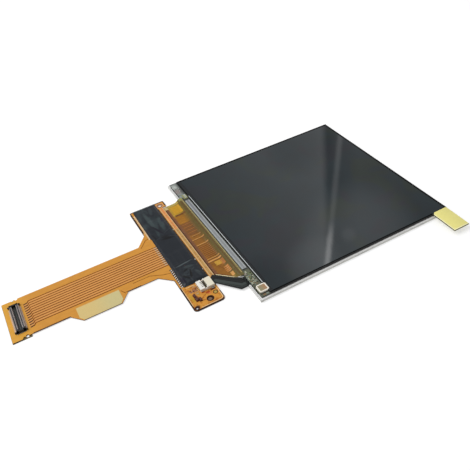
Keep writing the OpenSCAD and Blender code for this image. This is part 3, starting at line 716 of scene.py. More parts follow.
def new_piece(name, bm, finishes, replaces=(), body=MODULE, smooth_below=0.0):
    """Turns a bmesh in millimetres into a finished piece that rides on a body.

    Faces that meet at less than smooth_below degrees are shaded as one.
    """
    bmesh.ops.recalc_face_normals(bm, faces=bm.faces)
    bmesh.ops.scale(bm, vec=(MM, MM, MM), verts=bm.verts)
    mesh = bpy.data.meshes.new(name)
    bm.to_mesh(mesh)
    bm.free()
    if smooth_below:
        mesh.shade_smooth()
        mesh.set_sharp_from_angle(angle=math.radians(smooth_below))
    piece = bpy.data.objects.new(name, mesh)
    bpy.context.scene.collection.objects.link(piece)
    for finish in finishes:
        mesh.materials.append(finish)
    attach(piece, body)
    if replaces:
        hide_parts(*replaces)
    return piece


def finish_node(name, finish, edge=0.0):
    """Gives a CAD node its material and, by modifiers, edges rounded by edge in millimetres."""
    node = frame["nodes"][name]
    node.data.materials.clear()
    node.data.materials.append(finish)
    if edge:
        weld = node.modifiers.new("join_triangles", "WELD")
        weld.merge_threshold = 1e-7
        bevel = node.modifiers.new("rounded_edges", "BEVEL")
        bevel.width = edge * MM
        bevel.segments = 2
        bevel.limit_method = "ANGLE"
        bevel.angle_limit = ROUNDED_FROM


def smoothstep(x):
    """Goes from 0 to 1 with a level start and end while x does."""
    x = min(max(x, 0.0), 1.0)
    return x * x * (3 - 2 * x)


# ---------------------------------------------------------------- panel


class DISPLAY_OT_tray(bpy.types.Operator):
    """Steel tray: folded walls with relief gaps, hook windows and a stamped back"""

    bl_idname = "display.tray"
    bl_label = "Tray"

    wall = 0.12
    corner = 0.6
    stamp_inset = 5.5
    stamp_slope = 0.5
    windows = 3
    window_length = 3.04
    window_low = 0.19
    window_high = 0.38

    def execute(self, context):
        half = PANEL_HIGH.xy
        bm = bmesh.new()
        grid(bm, -half, half, 1, 1)
        for axis in (0, 1):
            for side in (-1, 1):
                for inset in (self.corner, self.stamp_inset):
                    cut_faces(bm, list(bm.faces), AXES[axis], side * (half[axis] - inset))
        for axis in (0, 1):
            for side in (-1, 1):
                self.raise_wall(bm, axis, side * half[axis], half[1 - axis])
        folds = [e for e in bm.edges if len(e.link_faces) == 2 and e.calc_face_angle() > 1]
        bmesh.ops.bevel(bm, geom=folds, offset=self.wall, offset_type="OFFSET", segments=3, profile=0.5,
                        affect="EDGES", material=-1)
        stamp = [f for f in bm.faces if abs(f.calc_center_median().x) < half.x - self.stamp_inset
                 and abs(f.calc_center_median().y) < half.y - self.stamp_inset]
        bmesh.ops.inset_region(bm, faces=stamp, thickness=self.stamp_slope, use_even_offset=True)
        inner = list({v for f in stamp for v in f.verts})
        bmesh.ops.translate(bm, vec=(0, 0, context.scene.display_screen.stamp_depth / MM), verts=inner)
        bmesh.ops.recalc_face_normals(bm, faces=bm.faces)
        if stamp[0].normal.z > 0:
            bmesh.ops.reverse_faces(bm, faces=bm.faces)
        bmesh.ops.solidify(bm, geom=list(bm.faces), thickness=self.wall)
        new_piece("steel_tray", bm, [stamped_steel()], ["rear_tray"], smooth_below=30)
        return {"FINISHED"}

    def raise_wall(self, bm, axis, place, half):
        """Draws the straight middle of one side up, and opens the windows for the frame's hooks in it."""
        other = 1 - axis
        rim = [e for e in bm.edges if e.is_boundary and all(
            abs(v.co[axis] - place) < CLOSE and abs(v.co[other]) < half - self.corner + CLOSE
            and v.co.z < CLOSE for v in e.verts)]
        made = bmesh.ops.extrude_edge_only(bm, edges=rim)["geom"]
        bmesh.ops.translate(bm, vec=(0, 0, PANEL_HIGH.z), verts=only(made, BMVert))
        middles = [(i - (self.windows - 1) / 2) * 2 * half / self.windows for i in range(self.windows)]
        cuts = [(AXES[other], m + s * self.window_length / 2) for m in middles for s in (-1, 1)]
        for way, cut_at in cuts + [(AXES[2], self.window_low), (AXES[2], self.window_high)]:
            wall = [f for f in bm.faces if abs(f.calc_center_median()[axis] - place) < CLOSE
                    and f.calc_center_median().z > CLOSE]
            cut_faces(bm, wall, way, cut_at)
        holes = []
        for face in bm.faces:
            mid = face.calc_center_median()
            if (abs(mid[axis] - place) < CLOSE and self.window_low < mid.z < self.window_high
                    and any(abs(mid[other] - m) < self.window_length / 2 for m in middles)):
                holes.append(face)
        bmesh.ops.delete(bm, geom=holes, context="FACES_ONLY")
        bmesh.ops.delete(bm, geom=[e for e in bm.edges if not e.link_faces], context="EDGES")


class DISPLAY_OT_backlight(bpy.types.Operator):
    """Moulded frame, optical sheets, lamps and rim tape"""

    bl_idname = "display.backlight"
    bl_label = "Frame and backlight"

    def execute(self, context):
        screen = context.scene.display_screen
        finish_node("mould_frame", moulded_white("white_polycarbonate", screen.rim), edge=0.025)
        finish_node("reflector_sheet", clear_sheet("silvered_reflector", "E4E4E2", 0.2))
        finish_node("light_guide", clear_sheet("acrylic_light_guide", "E8EEF0", 0.1), edge=0.03)
        finish_node("diffuser_sheet", clear_sheet("beaded_diffuser", "F0F0EE", 0.6))
        prism = clear_sheet("prism_film", "E6EAEE", 0.3)
        finish_node("lower_prism_sheet", prism)
        finish_node("upper_prism_sheet", prism)
        finish_node("rim_tape", black_resin("black_foam_tape", "1B1B1C", 0.7))
        finish_node("backlight_leds", lamp_resin(), edge=0.03)
        return {"FINISHED"}


class DISPLAY_OT_cell(bpy.types.Operator):
    """Glasses, polarizers, protective film and driver chip, and the tracks on the bare glass"""

    bl_idname = "display.cell"
    bl_label = "Display cell"

    def execute(self, context):
        screen = context.scene.display_screen
        polarizer = dark_polarizer()
        finish_node("rear_polarizer", polarizer)
        finish_node("tft_glass", ledge_glass(), edge=0.02)
        finish_node("colour_filter_glass", front_glass(), edge=0.02)
        finish_node("front_polarizer", polarizer, edge=0.015)
        finish_node("protective_film", screen_film(screen.dark), edge=0.012)
        finish_node("driver_chip", chip_silicon(), edge=0.025)
        self.ledge_tracks()
        self.frame_line()
        return {"FINISHED"}

    @staticmethod
    def ledge_tracks():
        """Aluminium on the bare glass: tracks by the chip, marks at both ends and the edges' dark lines;
        painted highlight and shadow by the front glass, and painted shade in the seam.
        """
        low, high = GLASS_HIGH.z, GLASS_HIGH.z + 0.006
        over = high + 0.004
        pale = POLARIZER_TOP.z + 0.002
        left, front = GLASS_LOW.x, FRONT_LOW.x
        dull, bright, edge, shade, green, pink, brown, grey, yellow, black = range(10)
        bm = bmesh.new()
        # Tracks from the chip under the front glass, and from the film to the chip
        count = 64
        for i in range(count):
            y = CHIP_LOW.y + (i + 0.5) / count * (CHIP_HIGH.y - CHIP_LOW.y)
            ribbon(bm, [(CHIP_HIGH.x + 0.02, y), (front - 0.2, y * 1.02)], 0.12, low, high, dull)
            ribbon(bm, [(FILM_HIGH.x + 0.03, y), (CHIP_LOW.x - 0.02, y)], 0.14, low, high, dull)
        # Painted highlight on the polarizer's edge beside the chip, and black lines along the screen's far
        # edges
        blocks(bm, pale, pale + 0.006, [
            (front + 0.06, front + 0.24, DOT_HIGH.y + 0.3, CHIP_HIGH.y + 1.4, edge)])
        blocks(bm, pale, pale + 0.004, (
            (front + 0.3, POLARIZER_TOP.x, POLARIZER_TOP.y - 0.46, POLARIZER_TOP.y - 0.02, black),
            (POLARIZER_TOP.x - 0.42, POLARIZER_TOP.x - 0.02, TAB_HIGH.y, POLARIZER_TOP.y, black)))
        # Painted shadow at the foot of the front glass, and marks by the ledge's two ends
        blocks(bm, low, high, (
            (front - 0.17, front - 0.03, DOT_HIGH.y, GLASS_HIGH.y - 0.2, shade),
            (left + 0.3, left + 0.75, -18.35, -17.9, pink),
            (left + 1.1, left + 1.9, -18.9, -18.0, green),
            (left + 1.6, left + 1.9, -18.45, -18.15, edge),
            (left + 0.5, left + 1.3, -20.9, -19.2, green),
            (left + 0.04, left + 0.22, -22.3, -19.1, grey),
            (left + 0.7, left + 1.1, -17.9, -17.3, bright),
            (left + 0.2, left + 2.2, DOT_HIGH.y + 0.06, DOT_HIGH.y + 0.3, shade),
            (left + 0.3, left + 2.2, DOT_LOW.y - 0.3, DOT_LOW.y - 0.04, shade),
            (left + 0.7, left + 1.4, GLASS_LOW.y + 0.2, DOT_LOW.y - 0.35, brown),
            (left + 1.5, left + 2.1, GLASS_LOW.y + 0.3, DOT_LOW.y - 0.4, grey),
            (left + 0.02, front, GLASS_HIGH.y - 0.22, GLASS_HIGH.y - 0.02, shade),
            (left + 0.9, left + 2.1, FILM_HIGH.y - 1.0, FILM_HIGH.y + 1.1, yellow)))
        # Small test squares between the chip and the dot, and pads at the film's far end
        for i in range(9):
            for j in range(4):
                x, y = left + 0.45 + 0.44 * j, -19.1 - 0.4 * i
                share = noise.noise(Vector((i * 0.83, j * 1.37, 7.5)))
                if abs(share) > 0.06:
                    size = 0.12 + 0.1 * abs(share)
                    finish = (bright, pink, brown, grey, shade)[int(abs(share) * 29 + i + 2 * j) % 5]
                    blocks(bm, high, over, [(x - size, x + size, y - size, y + size, finish)])
        for i in range(3):
            y = FILM_HIGH.y - 0.5 + i * 0.6
            blocks(bm, high, over, [(left + 1.35, left + 1.95, y, y + 0.3, edge)])
        # Specks in the cloudy far end, and dashes of painted shade in the seam to the frame
        for i in range(9):
            spot = noise.noise_vector(Vector((i * 1.7, 4.2, 0)))
            x, y = left + 1.2 + spot.x, (FILM_HIGH.y + GLASS_HIGH.y) / 2 + 0.6 + spot.y * 3
            blocks(bm, low, high, [(x - 0.14, x + 0.14, y - 0.12, y + 0.12, (edge, grey, shade)[i % 3])])
        y = GLASS_LOW.y + 1.6
        while y < GLASS_HIGH.y - 1:
            length = 0.55 + 0.25 * noise.noise(Vector((y, 0, 5)))
            if y < FILM_LOW.y - 0.6 or y > FILM_HIGH.y:
                blocks(bm, FRAME_HIGH.z, over, [(left - 0.06, left + 0.09, y, y + length, black)])
            y += 0.85
        # The third finish also paints a highlight, the fourth also a shadow, and the last also shade in the
        # seam.
        new_piece("ledge_tracks", bm, [
            aluminium_track("dull_aluminium", "6E7068"), aluminium_track("bright_aluminium", "B4B8A0"),
            aluminium_track("aluminium_and_painted_highlight", "D6DCDC"), covered_copper("dark_marks_and_painted_shadow", "171A18"),
            covered_copper("green_track_glass", "6C7656", 0.2), covered_copper("pink_mark", "A89C94", 0.2),
            covered_copper("brown_mark", "80684A", 0.2), covered_copper("grey_mark", "808B82", 0.2),
            covered_copper("yellow_green_mark", "8E9060", 0.2, 0.2),
            covered_copper("black_lines_and_seam_shade", "070808", 0.2, gloss=0.05)])

    @staticmethod
    def frame_line():
        """Grey line along the frame's outer edge, left out where the amber film crosses it."""
        start, end = FRAME_LOW.x + 0.09, FRAME_LOW.x + 0.17
        bm = bmesh.new()
        blocks(bm, FRAME_HIGH.z - 0.01, FRAME_HIGH.z + 0.003, (
            (start, end, FRAME_LOW.y + 0.05, FILM_LOW.y - 3.6, 0),
            (start, end, FILM_HIGH.y + 0.2, FRAME_HIGH.y - 0.05, 0)))
        new_piece("frame_line", bm, [covered_copper("grey_frame_edge_line", "8C8E8E", 0.2)])


class DISPLAY_OT_ground_dot(bpy.types.Operator):
    """Paste dot: a pale rim that stands round a sunk centre, and its foot on the ledge"""

    bl_idname = "display.ground_dot"
    bl_label = "Ground dot"

    rounded = 0.07
    rim = 0.27
    foot_inset = 0.02
    foot_corner = 0.4

    def execute(self, context):
        low, high = DOT_LOW, DOT_HIGH
        seat = POLARIZER_TOP.z + 0.002
        bm = bmesh.new()
        plate(bm, [(low.x, low.y), (high.x, low.y), (high.x, high.y), (low.x, high.y)],
              seat, high.z, corner=0.45, edge=self.rounded)
        top = max(bm.faces, key=lambda f: f.calc_center_median().z)
        bmesh.ops.inset_region(bm, faces=[top], thickness=self.rim - self.rounded, use_even_offset=True)
        bmesh.ops.inset_region(bm, faces=[top], thickness=0.07, depth=-0.03, use_even_offset=True)
        top.material_index = 1
        step = FRONT_LOW.x - 0.03
        start, bottom, end = low.x + self.foot_inset, low.y + self.foot_inset, high.y - self.foot_inset
        plate(bm, [(start, low.y + self.foot_corner), (low.x + self.foot_corner, bottom), (step, bottom),
                   (step, end), (low.x + self.foot_corner, end), (start, high.y - self.foot_corner)],
              low.z, seat)
        new_piece("paste_dot", bm, [dot_rim(), dot_centre()], ["ground_dot"], smooth_below=40)
        return {"FINISHED"}


class DISPLAY_OT_pull_tab(bpy.types.Operator):
    """Pull tab: a thin strip stuck at one end, its free end hanging a little"""

    bl_idname = "display.pull_tab"
    bl_label = "Pull tab"

    cut_corner = 0.9
    steps = 14

    def execute(self, context):
        screen = context.scene.display_screen
        low, high = TAB_LOW, TAB_HIGH
        edge_y = box_mm("protective_film")[0].y
        bm = bmesh.new()
        plate(bm, [(low.x, low.y), (high.x, low.y), (high.x, high.y), (low.x + self.cut_corner, high.y),
                   (low.x, high.y - self.cut_corner)], low.z, high.z, corner=0.12, edge=0.02)
        for i in range(1, self.steps):
            cut_faces(bm, list(bm.faces), AXES[1], low.y + (high.y - low.y) * i / self.steps)
        for vert in bm.verts:
            out = max((edge_y - vert.co.y) / (edge_y - low.y), 0)
            vert.co.z -= screen.tab_droop / MM * out ** 1.6
        new_piece("release_tab", bm, [tab_paper(screen.tab)], ["pull_tab"], smooth_below=35)
        return {"FINISHED"}


# ---------------------------------------------------------------- amber film and lead


class DISPLAY_OT_amber_film(bpy.types.Operator):
    """Amber film: flat on the glass, one smooth bend down to the board, with its copper tracks"""

    bl_idname = "display.amber_film"
    bl_label = "Amber film"

    thickness = 0.05
    start = GLASS_LOW.x - 0.15
    bend = start - 1.85
    end = BOARD_RIGHT + 0.35
    bend_height = 0.22
    ripple = 0.012
    cut = (4.6, 4.7)

    def height(self, x):
        """Underside of the film at a place along X: level on the glass, a bend, then a slope to the board."""
        low, high = FILM_LOW.z, FILM_HIGH.z - self.thickness
        if x > self.bend:
            share = max((self.start - x) / (self.start - self.bend), 0)
            return high + (self.bend_height - high) * (1 - math.cos(math.pi * share)) / 2
        share = min((self.bend - x) / (self.bend - self.end), 1)
        return self.bend_height + (low - self.bend_height) * share

    def execute(self, context):
        bm = bmesh.new()
        grid(bm, FILM_LOW, FILM_HIGH, 56, 44)
        slant = Vector((-self.cut[1], -self.cut[0], 0))
        bmesh.ops.bisect_plane(bm, geom=bm.verts[:] + bm.edges[:] + bm.faces[:], dist=1e-5, clear_outer=True,
                               plane_co=(self.end, FILM_LOW.y + self.cut[1], 0), plane_no=slant)
        for vert in bm.verts:
            x, y = vert.co.x, vert.co.y
            free = smoothstep((self.start - x) / 1.2) * smoothstep((x - self.end) / 1.2)
            vert.co.z = self.height(x) + self.ripple * noise.noise(Vector((x * 0.5, y * 0.16, 3))) * free
        raise_faces(bm, list(bm.faces), self.thickness)
        amber = amber_polyimide(context.scene.display_circuit.amber)
        new_piece("amber_film", bm, [amber], ["panel_film"], smooth_below=40)
        self.tracks()
        return {"FINISHED"}

    def lay(self, bm, sides, finish, lift):
        """Adds copper on the film between two sides, given as pairs of points in plan."""
        pairs = []
        for near, far in sides:
            z = self.height(near[0]) + self.thickness + self.ripple
            pairs.append(((*near, z), (*far, z)))
        raise_faces(bm, sweep_edge(bm, pairs), lift, finish)

    def strip(self, bm, x0, x1, y0, y1, finish, lift=0.006):
        """Adds a strip of copper between two places along X."""
        steps = max(int(abs(x1 - x0) / 0.2), 2)
        places = [x0 + (x1 - x0) * i / steps for i in range(steps + 1)]
        self.lay(bm, [((x, y0), (x, y1)) for x in places], finish, lift)

    def slanted_strip(self, bm, inset, width, finish, lift):
        """Adds a strip along the film's slanted edge, this far in from it."""
        inward = Vector((self.cut[1], self.cut[0])).normalized()
        start = Vector((self.end, FILM_LOW.y + self.cut[1])) + inward * inset
        along = Vector((self.cut[0], -self.cut[1]))
        steps = 26
        places = [start + along * i / steps for i in range(steps + 1)]
        self.lay(bm, [(near, near + inward * width) for near in places], finish, lift)

    def tracks(self):
        """Copper seen through the film: broad gold areas, bright tracks and fine tracks."""
        bright, fine, gold, shade, pale, bond, dull, white, amber, olive = range(10)
        right = self.start - 0.95
        flat = self.bend - 0.1
        bm = bmesh.new()
        # Areas: x from, x to, y from, y to, finish
        for area in (
                (-31.6, right - 0.2, 14.2, 17.8, gold), (-31.8, right, 13.1, 13.7, shade),
                (self.end + 0.6, right, 18.1, FILM_HIGH.y - 0.02, olive),
                (-31.2, -29.4, -10.7, -9.15, amber), (-29.9, right, -11.2, -9.15, fine),
                (-30.1, right, -14.3, -12.0, fine), (-29.6, right - 0.1, -16.1, -14.8, bright),
                (-33.1, -32.1, 17.5, 18.9, pale)):
            self.strip(bm, *area)
        # Bright tracks, each with a dark line of painted shade below it: x from, x to, middle, width
        for x0, x1, y, width in ((-31.6, -29.0, 2.95, 0.16), (-32.2, right, 1.35, 0.28),
                                 (-32.2, right, -1.2, 0.28), (-32.3, right, -7.5, 0.22),
                                 (-32.4, right, -8.4, 0.5)):
            self.strip(bm, x0, x1, y - width / 2, y + width / 2, bright, 0.012)
            self.strip(bm, x0, x1, y - width / 2 - 0.2, y - width / 2 - 0.02, shade)
        # Fine tracks, the lower eight each with a line of painted shade below: drawn coarser than real ones
        # so that they show
        for i in range(8):
            y = -2.05 - 0.65 * i
            self.strip(bm, -31.9, flat + 0.7, y - 0.1, y + 0.08, fine, 0.009)
            self.strip(bm, -31.9, flat + 0.7, y - 0.34, y - 0.18, shade)
            y = 8.6 - 0.65 * i
            self.strip(bm, -31.9, flat + 0.4, y - 0.08, y + 0.08, dull if i % 2 else fine)
        for i in range(4):
            y = -12.3 - 0.62 * i
            self.strip(bm, -30.0, right, y - 0.1, y + 0.06, bright, 0.012)
        for i in range(6):
            y = -9.6 - 0.6 * i
            self.strip(bm, -32.2 + 0.36 * i, -31.2 + 0.3 * i, y - 0.07, y + 0.07, shade)
        # Dashes where the film rises to the glass
        y = FILM_LOW.y + 1.0
        while y < FILM_HIGH.y - 1.4:
            self.strip(bm, -28.25, -27.95, y, y + 0.2, shade, 0.01)
            self.strip(bm, -27.66, -27.38, y + 0.1, y + 0.3, pale, 0.01)
            y += 0.45
        # Painted highlight along the slanted edge with a painted shade line inside it, and a painted shadow
        # line along the board
        self.slanted_strip(bm, 0.0, 0.2, white, 0.012)
        self.slanted_strip(bm, 0.22, 0.26, shade, 0.006)
        self.strip(bm, self.end - 0.32, self.end - 0.02, FILM_LOW.y + self.cut[1], 17.2, bond)
        # The fourth finish is darker copper and painted shade, the sixth a painted shadow and the eighth a
        # painted highlight
        new_piece("film_tracks", bm, [film_copper(name, code) for name, code in (
            ("bright_film_copper", "D29850"), ("fine_film_copper", "A8692C"), ("gold_film_copper", "C9961C"),
            ("dark_copper_and_painted_shade", "6B3F12"), ("bare_film_edge", "D2BC80"), ("bond_shadow", "3A1A06"),
            ("dull_film_copper", "74491E"), ("painted_film_edge_highlight", "F2E4B8"), ("amber_film_copper", "C89838"),
            ("bare_olive_film", "B8A254"))])


class DISPLAY_OT_lead(bpy.types.Operator):
    """Backlight lead: black cover film, its shoulder under the amber film, and its conductors, painted with a
    highlight and shade
    """

    bl_idname = "display.lead"
    bl_label = "Backlight lead"

    width = 2.8

    def execute(self, context):
        finish_node("led_flex", black_cover())
        low, high = LEAD_LOW.z, LEAD_HIGH.z
        exit_high = FILM_LOW.y - 0.65
        exit_low = exit_high - self.width
        plug_x = FOOT_RIGHT + 0.2
        # Shoulder: fills the corner between the lead and the film's slanted edge
        bm = bmesh.new()
        plate(bm, [(plug_x, PLUG_HIGH.y + 0.25), (-33.6, -13.3), (-32.0, -14.75), (-30.0, -16.75),
                   (-29.3, -17.2), (-29.0, -17.4), (-28.4, -17.95), (-28.2, -18.1), (-28.2, exit_high),
                   (-28.4, exit_high)], low, high)
        # Cover over the frame's wall where the lead leaves the panel
        wall, top = FRAME_LOW.x - 0.03, FRAME_HIGH.z + 0.003
        block(bm, (wall, exit_low, high), (wall + 0.025, exit_high + 0.4, top + 0.012))
        block(bm, (wall, exit_low, top), (GLASS_LOW.x - 0.01, exit_high + 0.4, top + 0.012))
        new_piece("lead_shoulder", bm, [black_cover()])
        # Ribs: share of the way across the lead, width, finish. The lighter ribs are a painted highlight on
        # the lead's fold; the near black ones are painted shade and the cover film's edge
        bm = bmesh.new()
        plug_low, plug_high = Vector((plug_x, PLUG_LOW.y + 0.35)), Vector((plug_x, PLUG_HIGH.y + 0.25))
        bend_low, bend_high = Vector((-30.05, exit_low)), Vector((-28.4, exit_high))
        for share, width, finish in ((0.06, 0.2, 1), (0.2, 0.16, 0), (0.45, 0.8, 0), (0.68, 0.2, 1),
                                     (0.9, 0.4, 1)):
            exit_y = exit_low + share * self.width
            ribbon(bm, [plug_low.lerp(plug_high, share), bend_low.lerp(bend_high, share),
                        (PANEL_LOW.x + 0.1, exit_y)], width, high, high + 0.01, finish)
        # The first finish is a painted highlight, the second painted shade and the cover film's edge
        new_piece("lead_conductors", bm, [
            black_cover("painted_lead_highlight", "3A4240"), black_cover("cover_film_edge_and_painted_shade", "0A0B0C")])
        return {"FINISHED"}


# ---------------------------------------------------------------- flexible board


class DISPLAY_OT_board(bpy.types.Operator):
    """Board and stiffeners, with the bond strip, edge strips, pads and rings on it"""

    bl_idname = "display.board"
    bl_label = "Flexible board"

    def execute(self, context):
        finish_node("flex_board", board_film(context.scene.display_circuit.board), edge=0.03)
        finish_node("board_stiffener", dark_laminate(), edge=0.02)
        finish_node("tail_stiffener", dark_laminate("olive_epoxy_laminate", "5C4E2C"), edge=0.02)
        self.bond_strip()
        self.edge_strips()
        self.rings()
        self.foot_pads()
        return {"FINISHED"}

    @staticmethod
    def bond_strip():
        """Bare bond fingers along the film's edge, between two pale rails."""
        low, high = PLUG_HIGH.y + 0.45, EAR_HOLE.y - 1.3
        left, right = FOOT_RIGHT + 0.02, BOARD_RIGHT - 0.05
        change = 8.2
        pitch = 0.52
        top = BOARD_TOP
        copper, gold, rail, dark, warm, hatch = range(6)
        bm = bmesh.new()
        blocks(bm, top, top + 0.01, ((left, right, low, change, copper), (left, right, change, high, warm)))
        for x in (left + 0.08, right - 0.1):
            ribbon(bm, [(x, low), (x, high)], 0.15, top + 0.01, top + 0.018, rail)
        # Painted shadow at the foot of the tape's edge
        ribbon(bm, [(left - 0.28, low), (left - 0.28, high)], 0.16, top, top + 0.01, dark)
        # Fingers, left out where a slow noise says so, and short stubs beside them
        for i in range(int((high - low) / pitch)):
            y = low + 0.3 + i * pitch
            share = noise.noise(Vector((0.3, i * 0.71, 2.0)))
            if y < change or share > 0.2:
                finish = gold if share > -0.1 else hatch
                blocks(bm, top, top + 0.02, [(left + 0.36, right - 0.24, y - 0.15, y + 0.17, finish)])
            if share < -0.02 and y < change + 3:
                blocks(bm, top, top + 0.016, [(left + 0.2, left + 0.42, y - 0.1, y + 0.2, gold)])
        new_piece("bond_strip", bm, [
            covered_copper("bond_copper", "C49A5A", 0.4, 0.16), gold_plate("bond_fingers", "CDA05C", 0.5),
            covered_copper("bond_rail", "DDBE92", 0.3, 0.1), covered_copper("tape_foot_shadow", "1E0E06"),
            covered_copper("warm_bond_copper", "E0904F", 0.5, 0.14),
            covered_copper("bond_hatch", "B87E3C", 0.3, 0.14)])

    @staticmethod
    def edge_strips():
        """Dark outline and ground copper along the board's edges, and the pads in its left margin."""
        low, high = BOARD_TOP, BOARD_TOP + 0.012
        inset = 0.32
        left, base, right = BOARD_LEFT + inset, BOARD_LOW + inset, FOOT_RIGHT - inset
        ear, margin = CIRCUIT_HIGH.x, TAPE_LOW.x - 0.06
        copper, pale, tin, dark, outline = range(5)
        bm = bmesh.new()
        for route, width, finish in (
                ([(left - 0.08, BOARD_HIGH - 0.5), (left - 0.08, TAIL_HIGH + 4.2)], 0.2, copper),
                ([(left - 0.08, TAIL_LOW - 6.4), (left - 0.08, CORNER_HOLE.y + 1.0)], 0.24, copper),
                ([(CORNER_HOLE.x + 1.0, base), (right - 0.7, base), (right - 0.2, base + 0.25),
                  (right, base + 0.7), (right, PLUG_LOW.y - 0.6)], 0.2, copper),
                ([(TAPE_LOW.x, BOARD_HIGH - 0.15), (BOARD_LEFT + 0.35, BOARD_HIGH - 0.15),
                  (BOARD_LEFT + 0.15, BOARD_HIGH - 0.35), (BOARD_LEFT + 0.15, TAIL_HIGH + 4.6)],
                 0.28, outline),
                ([(BOARD_LEFT + 0.1, TAIL_LOW - 6.2), (BOARD_LEFT + 0.1, BOARD_LOW + 0.7),
                  (BOARD_LEFT + 0.7, BOARD_LOW + 0.1), (FOOT_RIGHT - 0.66, BOARD_LOW + 0.12),
                  (FOOT_RIGHT - 0.12, BOARD_LOW + 0.66), (FOOT_RIGHT - 0.12, BOARD_LOW + 3)], 0.22, outline),
                ([(margin, BOARD_HIGH - 0.6), (margin, TAIL_HIGH + 1.0)], 0.14, outline),
                ([(TAPE_HIGH.x, BOARD_HIGH - 0.16), (ear - 0.36, BOARD_HIGH - 0.16),
                  (ear - 0.16, BOARD_HIGH - 0.36), (ear - 0.16, EAR_HOLE.y - 0.7)], 0.32, outline)):
            ribbon(bm, route, width, low, high, finish)
        # Small pale pads in the margin above the tail, larger tinned ones in dark lands below it
        middle = (BOARD_LEFT + TAPE_LOW.x) / 2 + 0.14
        y = TAIL_HIGH + 1.4
        while y < BOARD_HIGH - 1.8:
            blocks(bm, low, high + 0.01, [(middle - 0.16, middle + 0.2, y - 0.14, y + 0.14, pale)])
            y += 0.46
        y = TAPE_LOW.y + 0.5
        while y < TAIL_LOW + 0.9:
            blocks(bm, low, high - 0.004, [(middle - 0.28, middle + 0.42, y - 0.2, y + 0.5, dark)])
            ribbon(bm, [(middle - 0.2, y - 0.08), (middle + 0.3, y + 0.2)], 0.24, high, high + 0.02, tin)
            y += 0.74
        new_piece("margin_pads", bm, [
            covered_copper("edge_copper", "F0C890"), covered_copper("pale_pads", "E9D9B8", 0.3, 0.12),
            tin_plate("pad_tin", "F2ECE0", 0.4), covered_copper("dark_land", "2A1408"),
            covered_copper("dark_edge_outline", "38180A")])

    @staticmethod
    def rings():
        """Copper rings round the locating holes, a test pad, and the floor of the window."""
        low, high = BOARD_TOP, BOARD_TOP + 0.014
        copper, dark, grey, gold, dark_brown = range(5)
        pad = Vector((PLUG_HIGH.x - 0.75, WINDOW.y + 1.15))
        bm = bmesh.new()
        # Rings: centre, inner and outer radius, how far below the others its top lies, finish
        for centre, inner, outer, below, finish in (
                (EAR_HOLE, EAR_HOLE_RADIUS + 0.03, EAR_HOLE_RADIUS + 0.18, 0, copper),
                (EAR_HOLE, EAR_HOLE_RADIUS + 0.18, EAR_HOLE_RADIUS + 0.4, 0.004, dark),
                (EAR_HOLE, EAR_HOLE_RADIUS + 0.4, EAR_HOLE_RADIUS + 0.66, 0, copper),
                (CORNER_HOLE, CORNER_HOLE_RADIUS + 0.03, 0.62, 0, dark_brown),
                (WINDOW, WINDOW_RADIUS - 0.03, WINDOW_RADIUS + 0.17, 0, dark), (pad, 0.42, 0.6, 0, dark)):
            ring(bm, centre, inner, outer, low, high - below, finish)
        disc(bm, pad, 0.4, low, high - 0.006, gold)
        floor = PLATE_HIGH.z
        disc(bm, WINDOW, WINDOW_RADIUS - 0.02, floor, floor + 0.004, dark)
        disc(bm, WINDOW + Vector((-0.08, 0.05)), WINDOW_RADIUS - 0.26, floor + 0.004, floor + 0.012, grey)
        new_piece("hole_rings", bm, [
            covered_copper("ring_copper", "E0A878", 0.2), covered_copper("ring_shadow", "32160A"),
            covered_copper("window_floor", "7A6450", 0.2, 0.2), gold_plate("test_pad_gold", "C4A850", 0.6),
            covered_copper("burnt_ring", "2E1216", 0.3)])

    @staticmethod
    def foot_pads():
        """Tracks, pads and solder lands beside the white connector."""
        low, high = BOARD_TOP, BOARD_TOP + 0.012
        middle = (PLUG_LOW.y + PLUG_HIGH.y) / 2
        land = PLUG_LOW.x - 0.5
        copper, pad, red, dark, pale, mauve = range(6)
        bm = bmesh.new()
        for i in range(4):
            y = middle + (i - 1.5) * CONTACT_PITCH
            bend = land - 0.5 - 0.25 * i
            blocks(bm, low, high + 0.02, [(land, PLUG_LOW.x, y - 0.14, y + 0.14, mauve if i > 1 else pad)])
            ribbon(bm, [(land, y), (bend, y), (bend - 0.5, y - 0.5)], 0.16, low, high, copper)
        # Rows of small pads left of the connector, half of them in shade
        for i in range(3):
            for j in range(2):
                x, y = -40.5 + 0.7 * i, -14.9 - 0.62 * j
                finish = mauve if (i + j) % 2 else dark
                blocks(bm, low, high, [(x - 0.2, x + 0.2, y - 0.22, y + 0.1, finish)])
        # Copper areas that show redder or paler through the cover film, painted shadow below the connector,
        # and a painted highlight along the tape's lower edge
        blocks(bm, low, high, (
            (-38.4, -37.9, -17.2, -16.85, red), (-37.6, -36.6, -17.85, -17.25, red),
            (-36.2, -34.9, -17.55, -17.1, dark), (-39.6, -39.0, -16.9, -16.4, pad),
            (-41.0, -38.7, TAPE_LOW.y - 0.5, TAPE_LOW.y - 0.36, pale), (-39.6, -38.9, -14.3, -13.9, pad)))
        # Lands under the open chips
        for start, end in solid_boxes("chip_capacitors"):
            if end.y < TAPE_LOW.y:
                blocks(bm, low, high, [(start.x - 0.12, end.x + 0.12, start.y - 0.14, end.y + 0.14, dark)])
        new_piece("foot_lands", bm, [
            covered_copper("foot_copper", "C48A4E", 0.2), covered_copper("pad_copper", "B89468", 0.2),
            covered_copper("red_copper", "A84A1C", 0.3), covered_copper("foot_shadow", "5A2E1A", 0.2),
            covered_copper("tape_edge_highlight", "F0D8A8", 0.2), covered_copper("mauve_pad", "7C5E66", 0.2)])


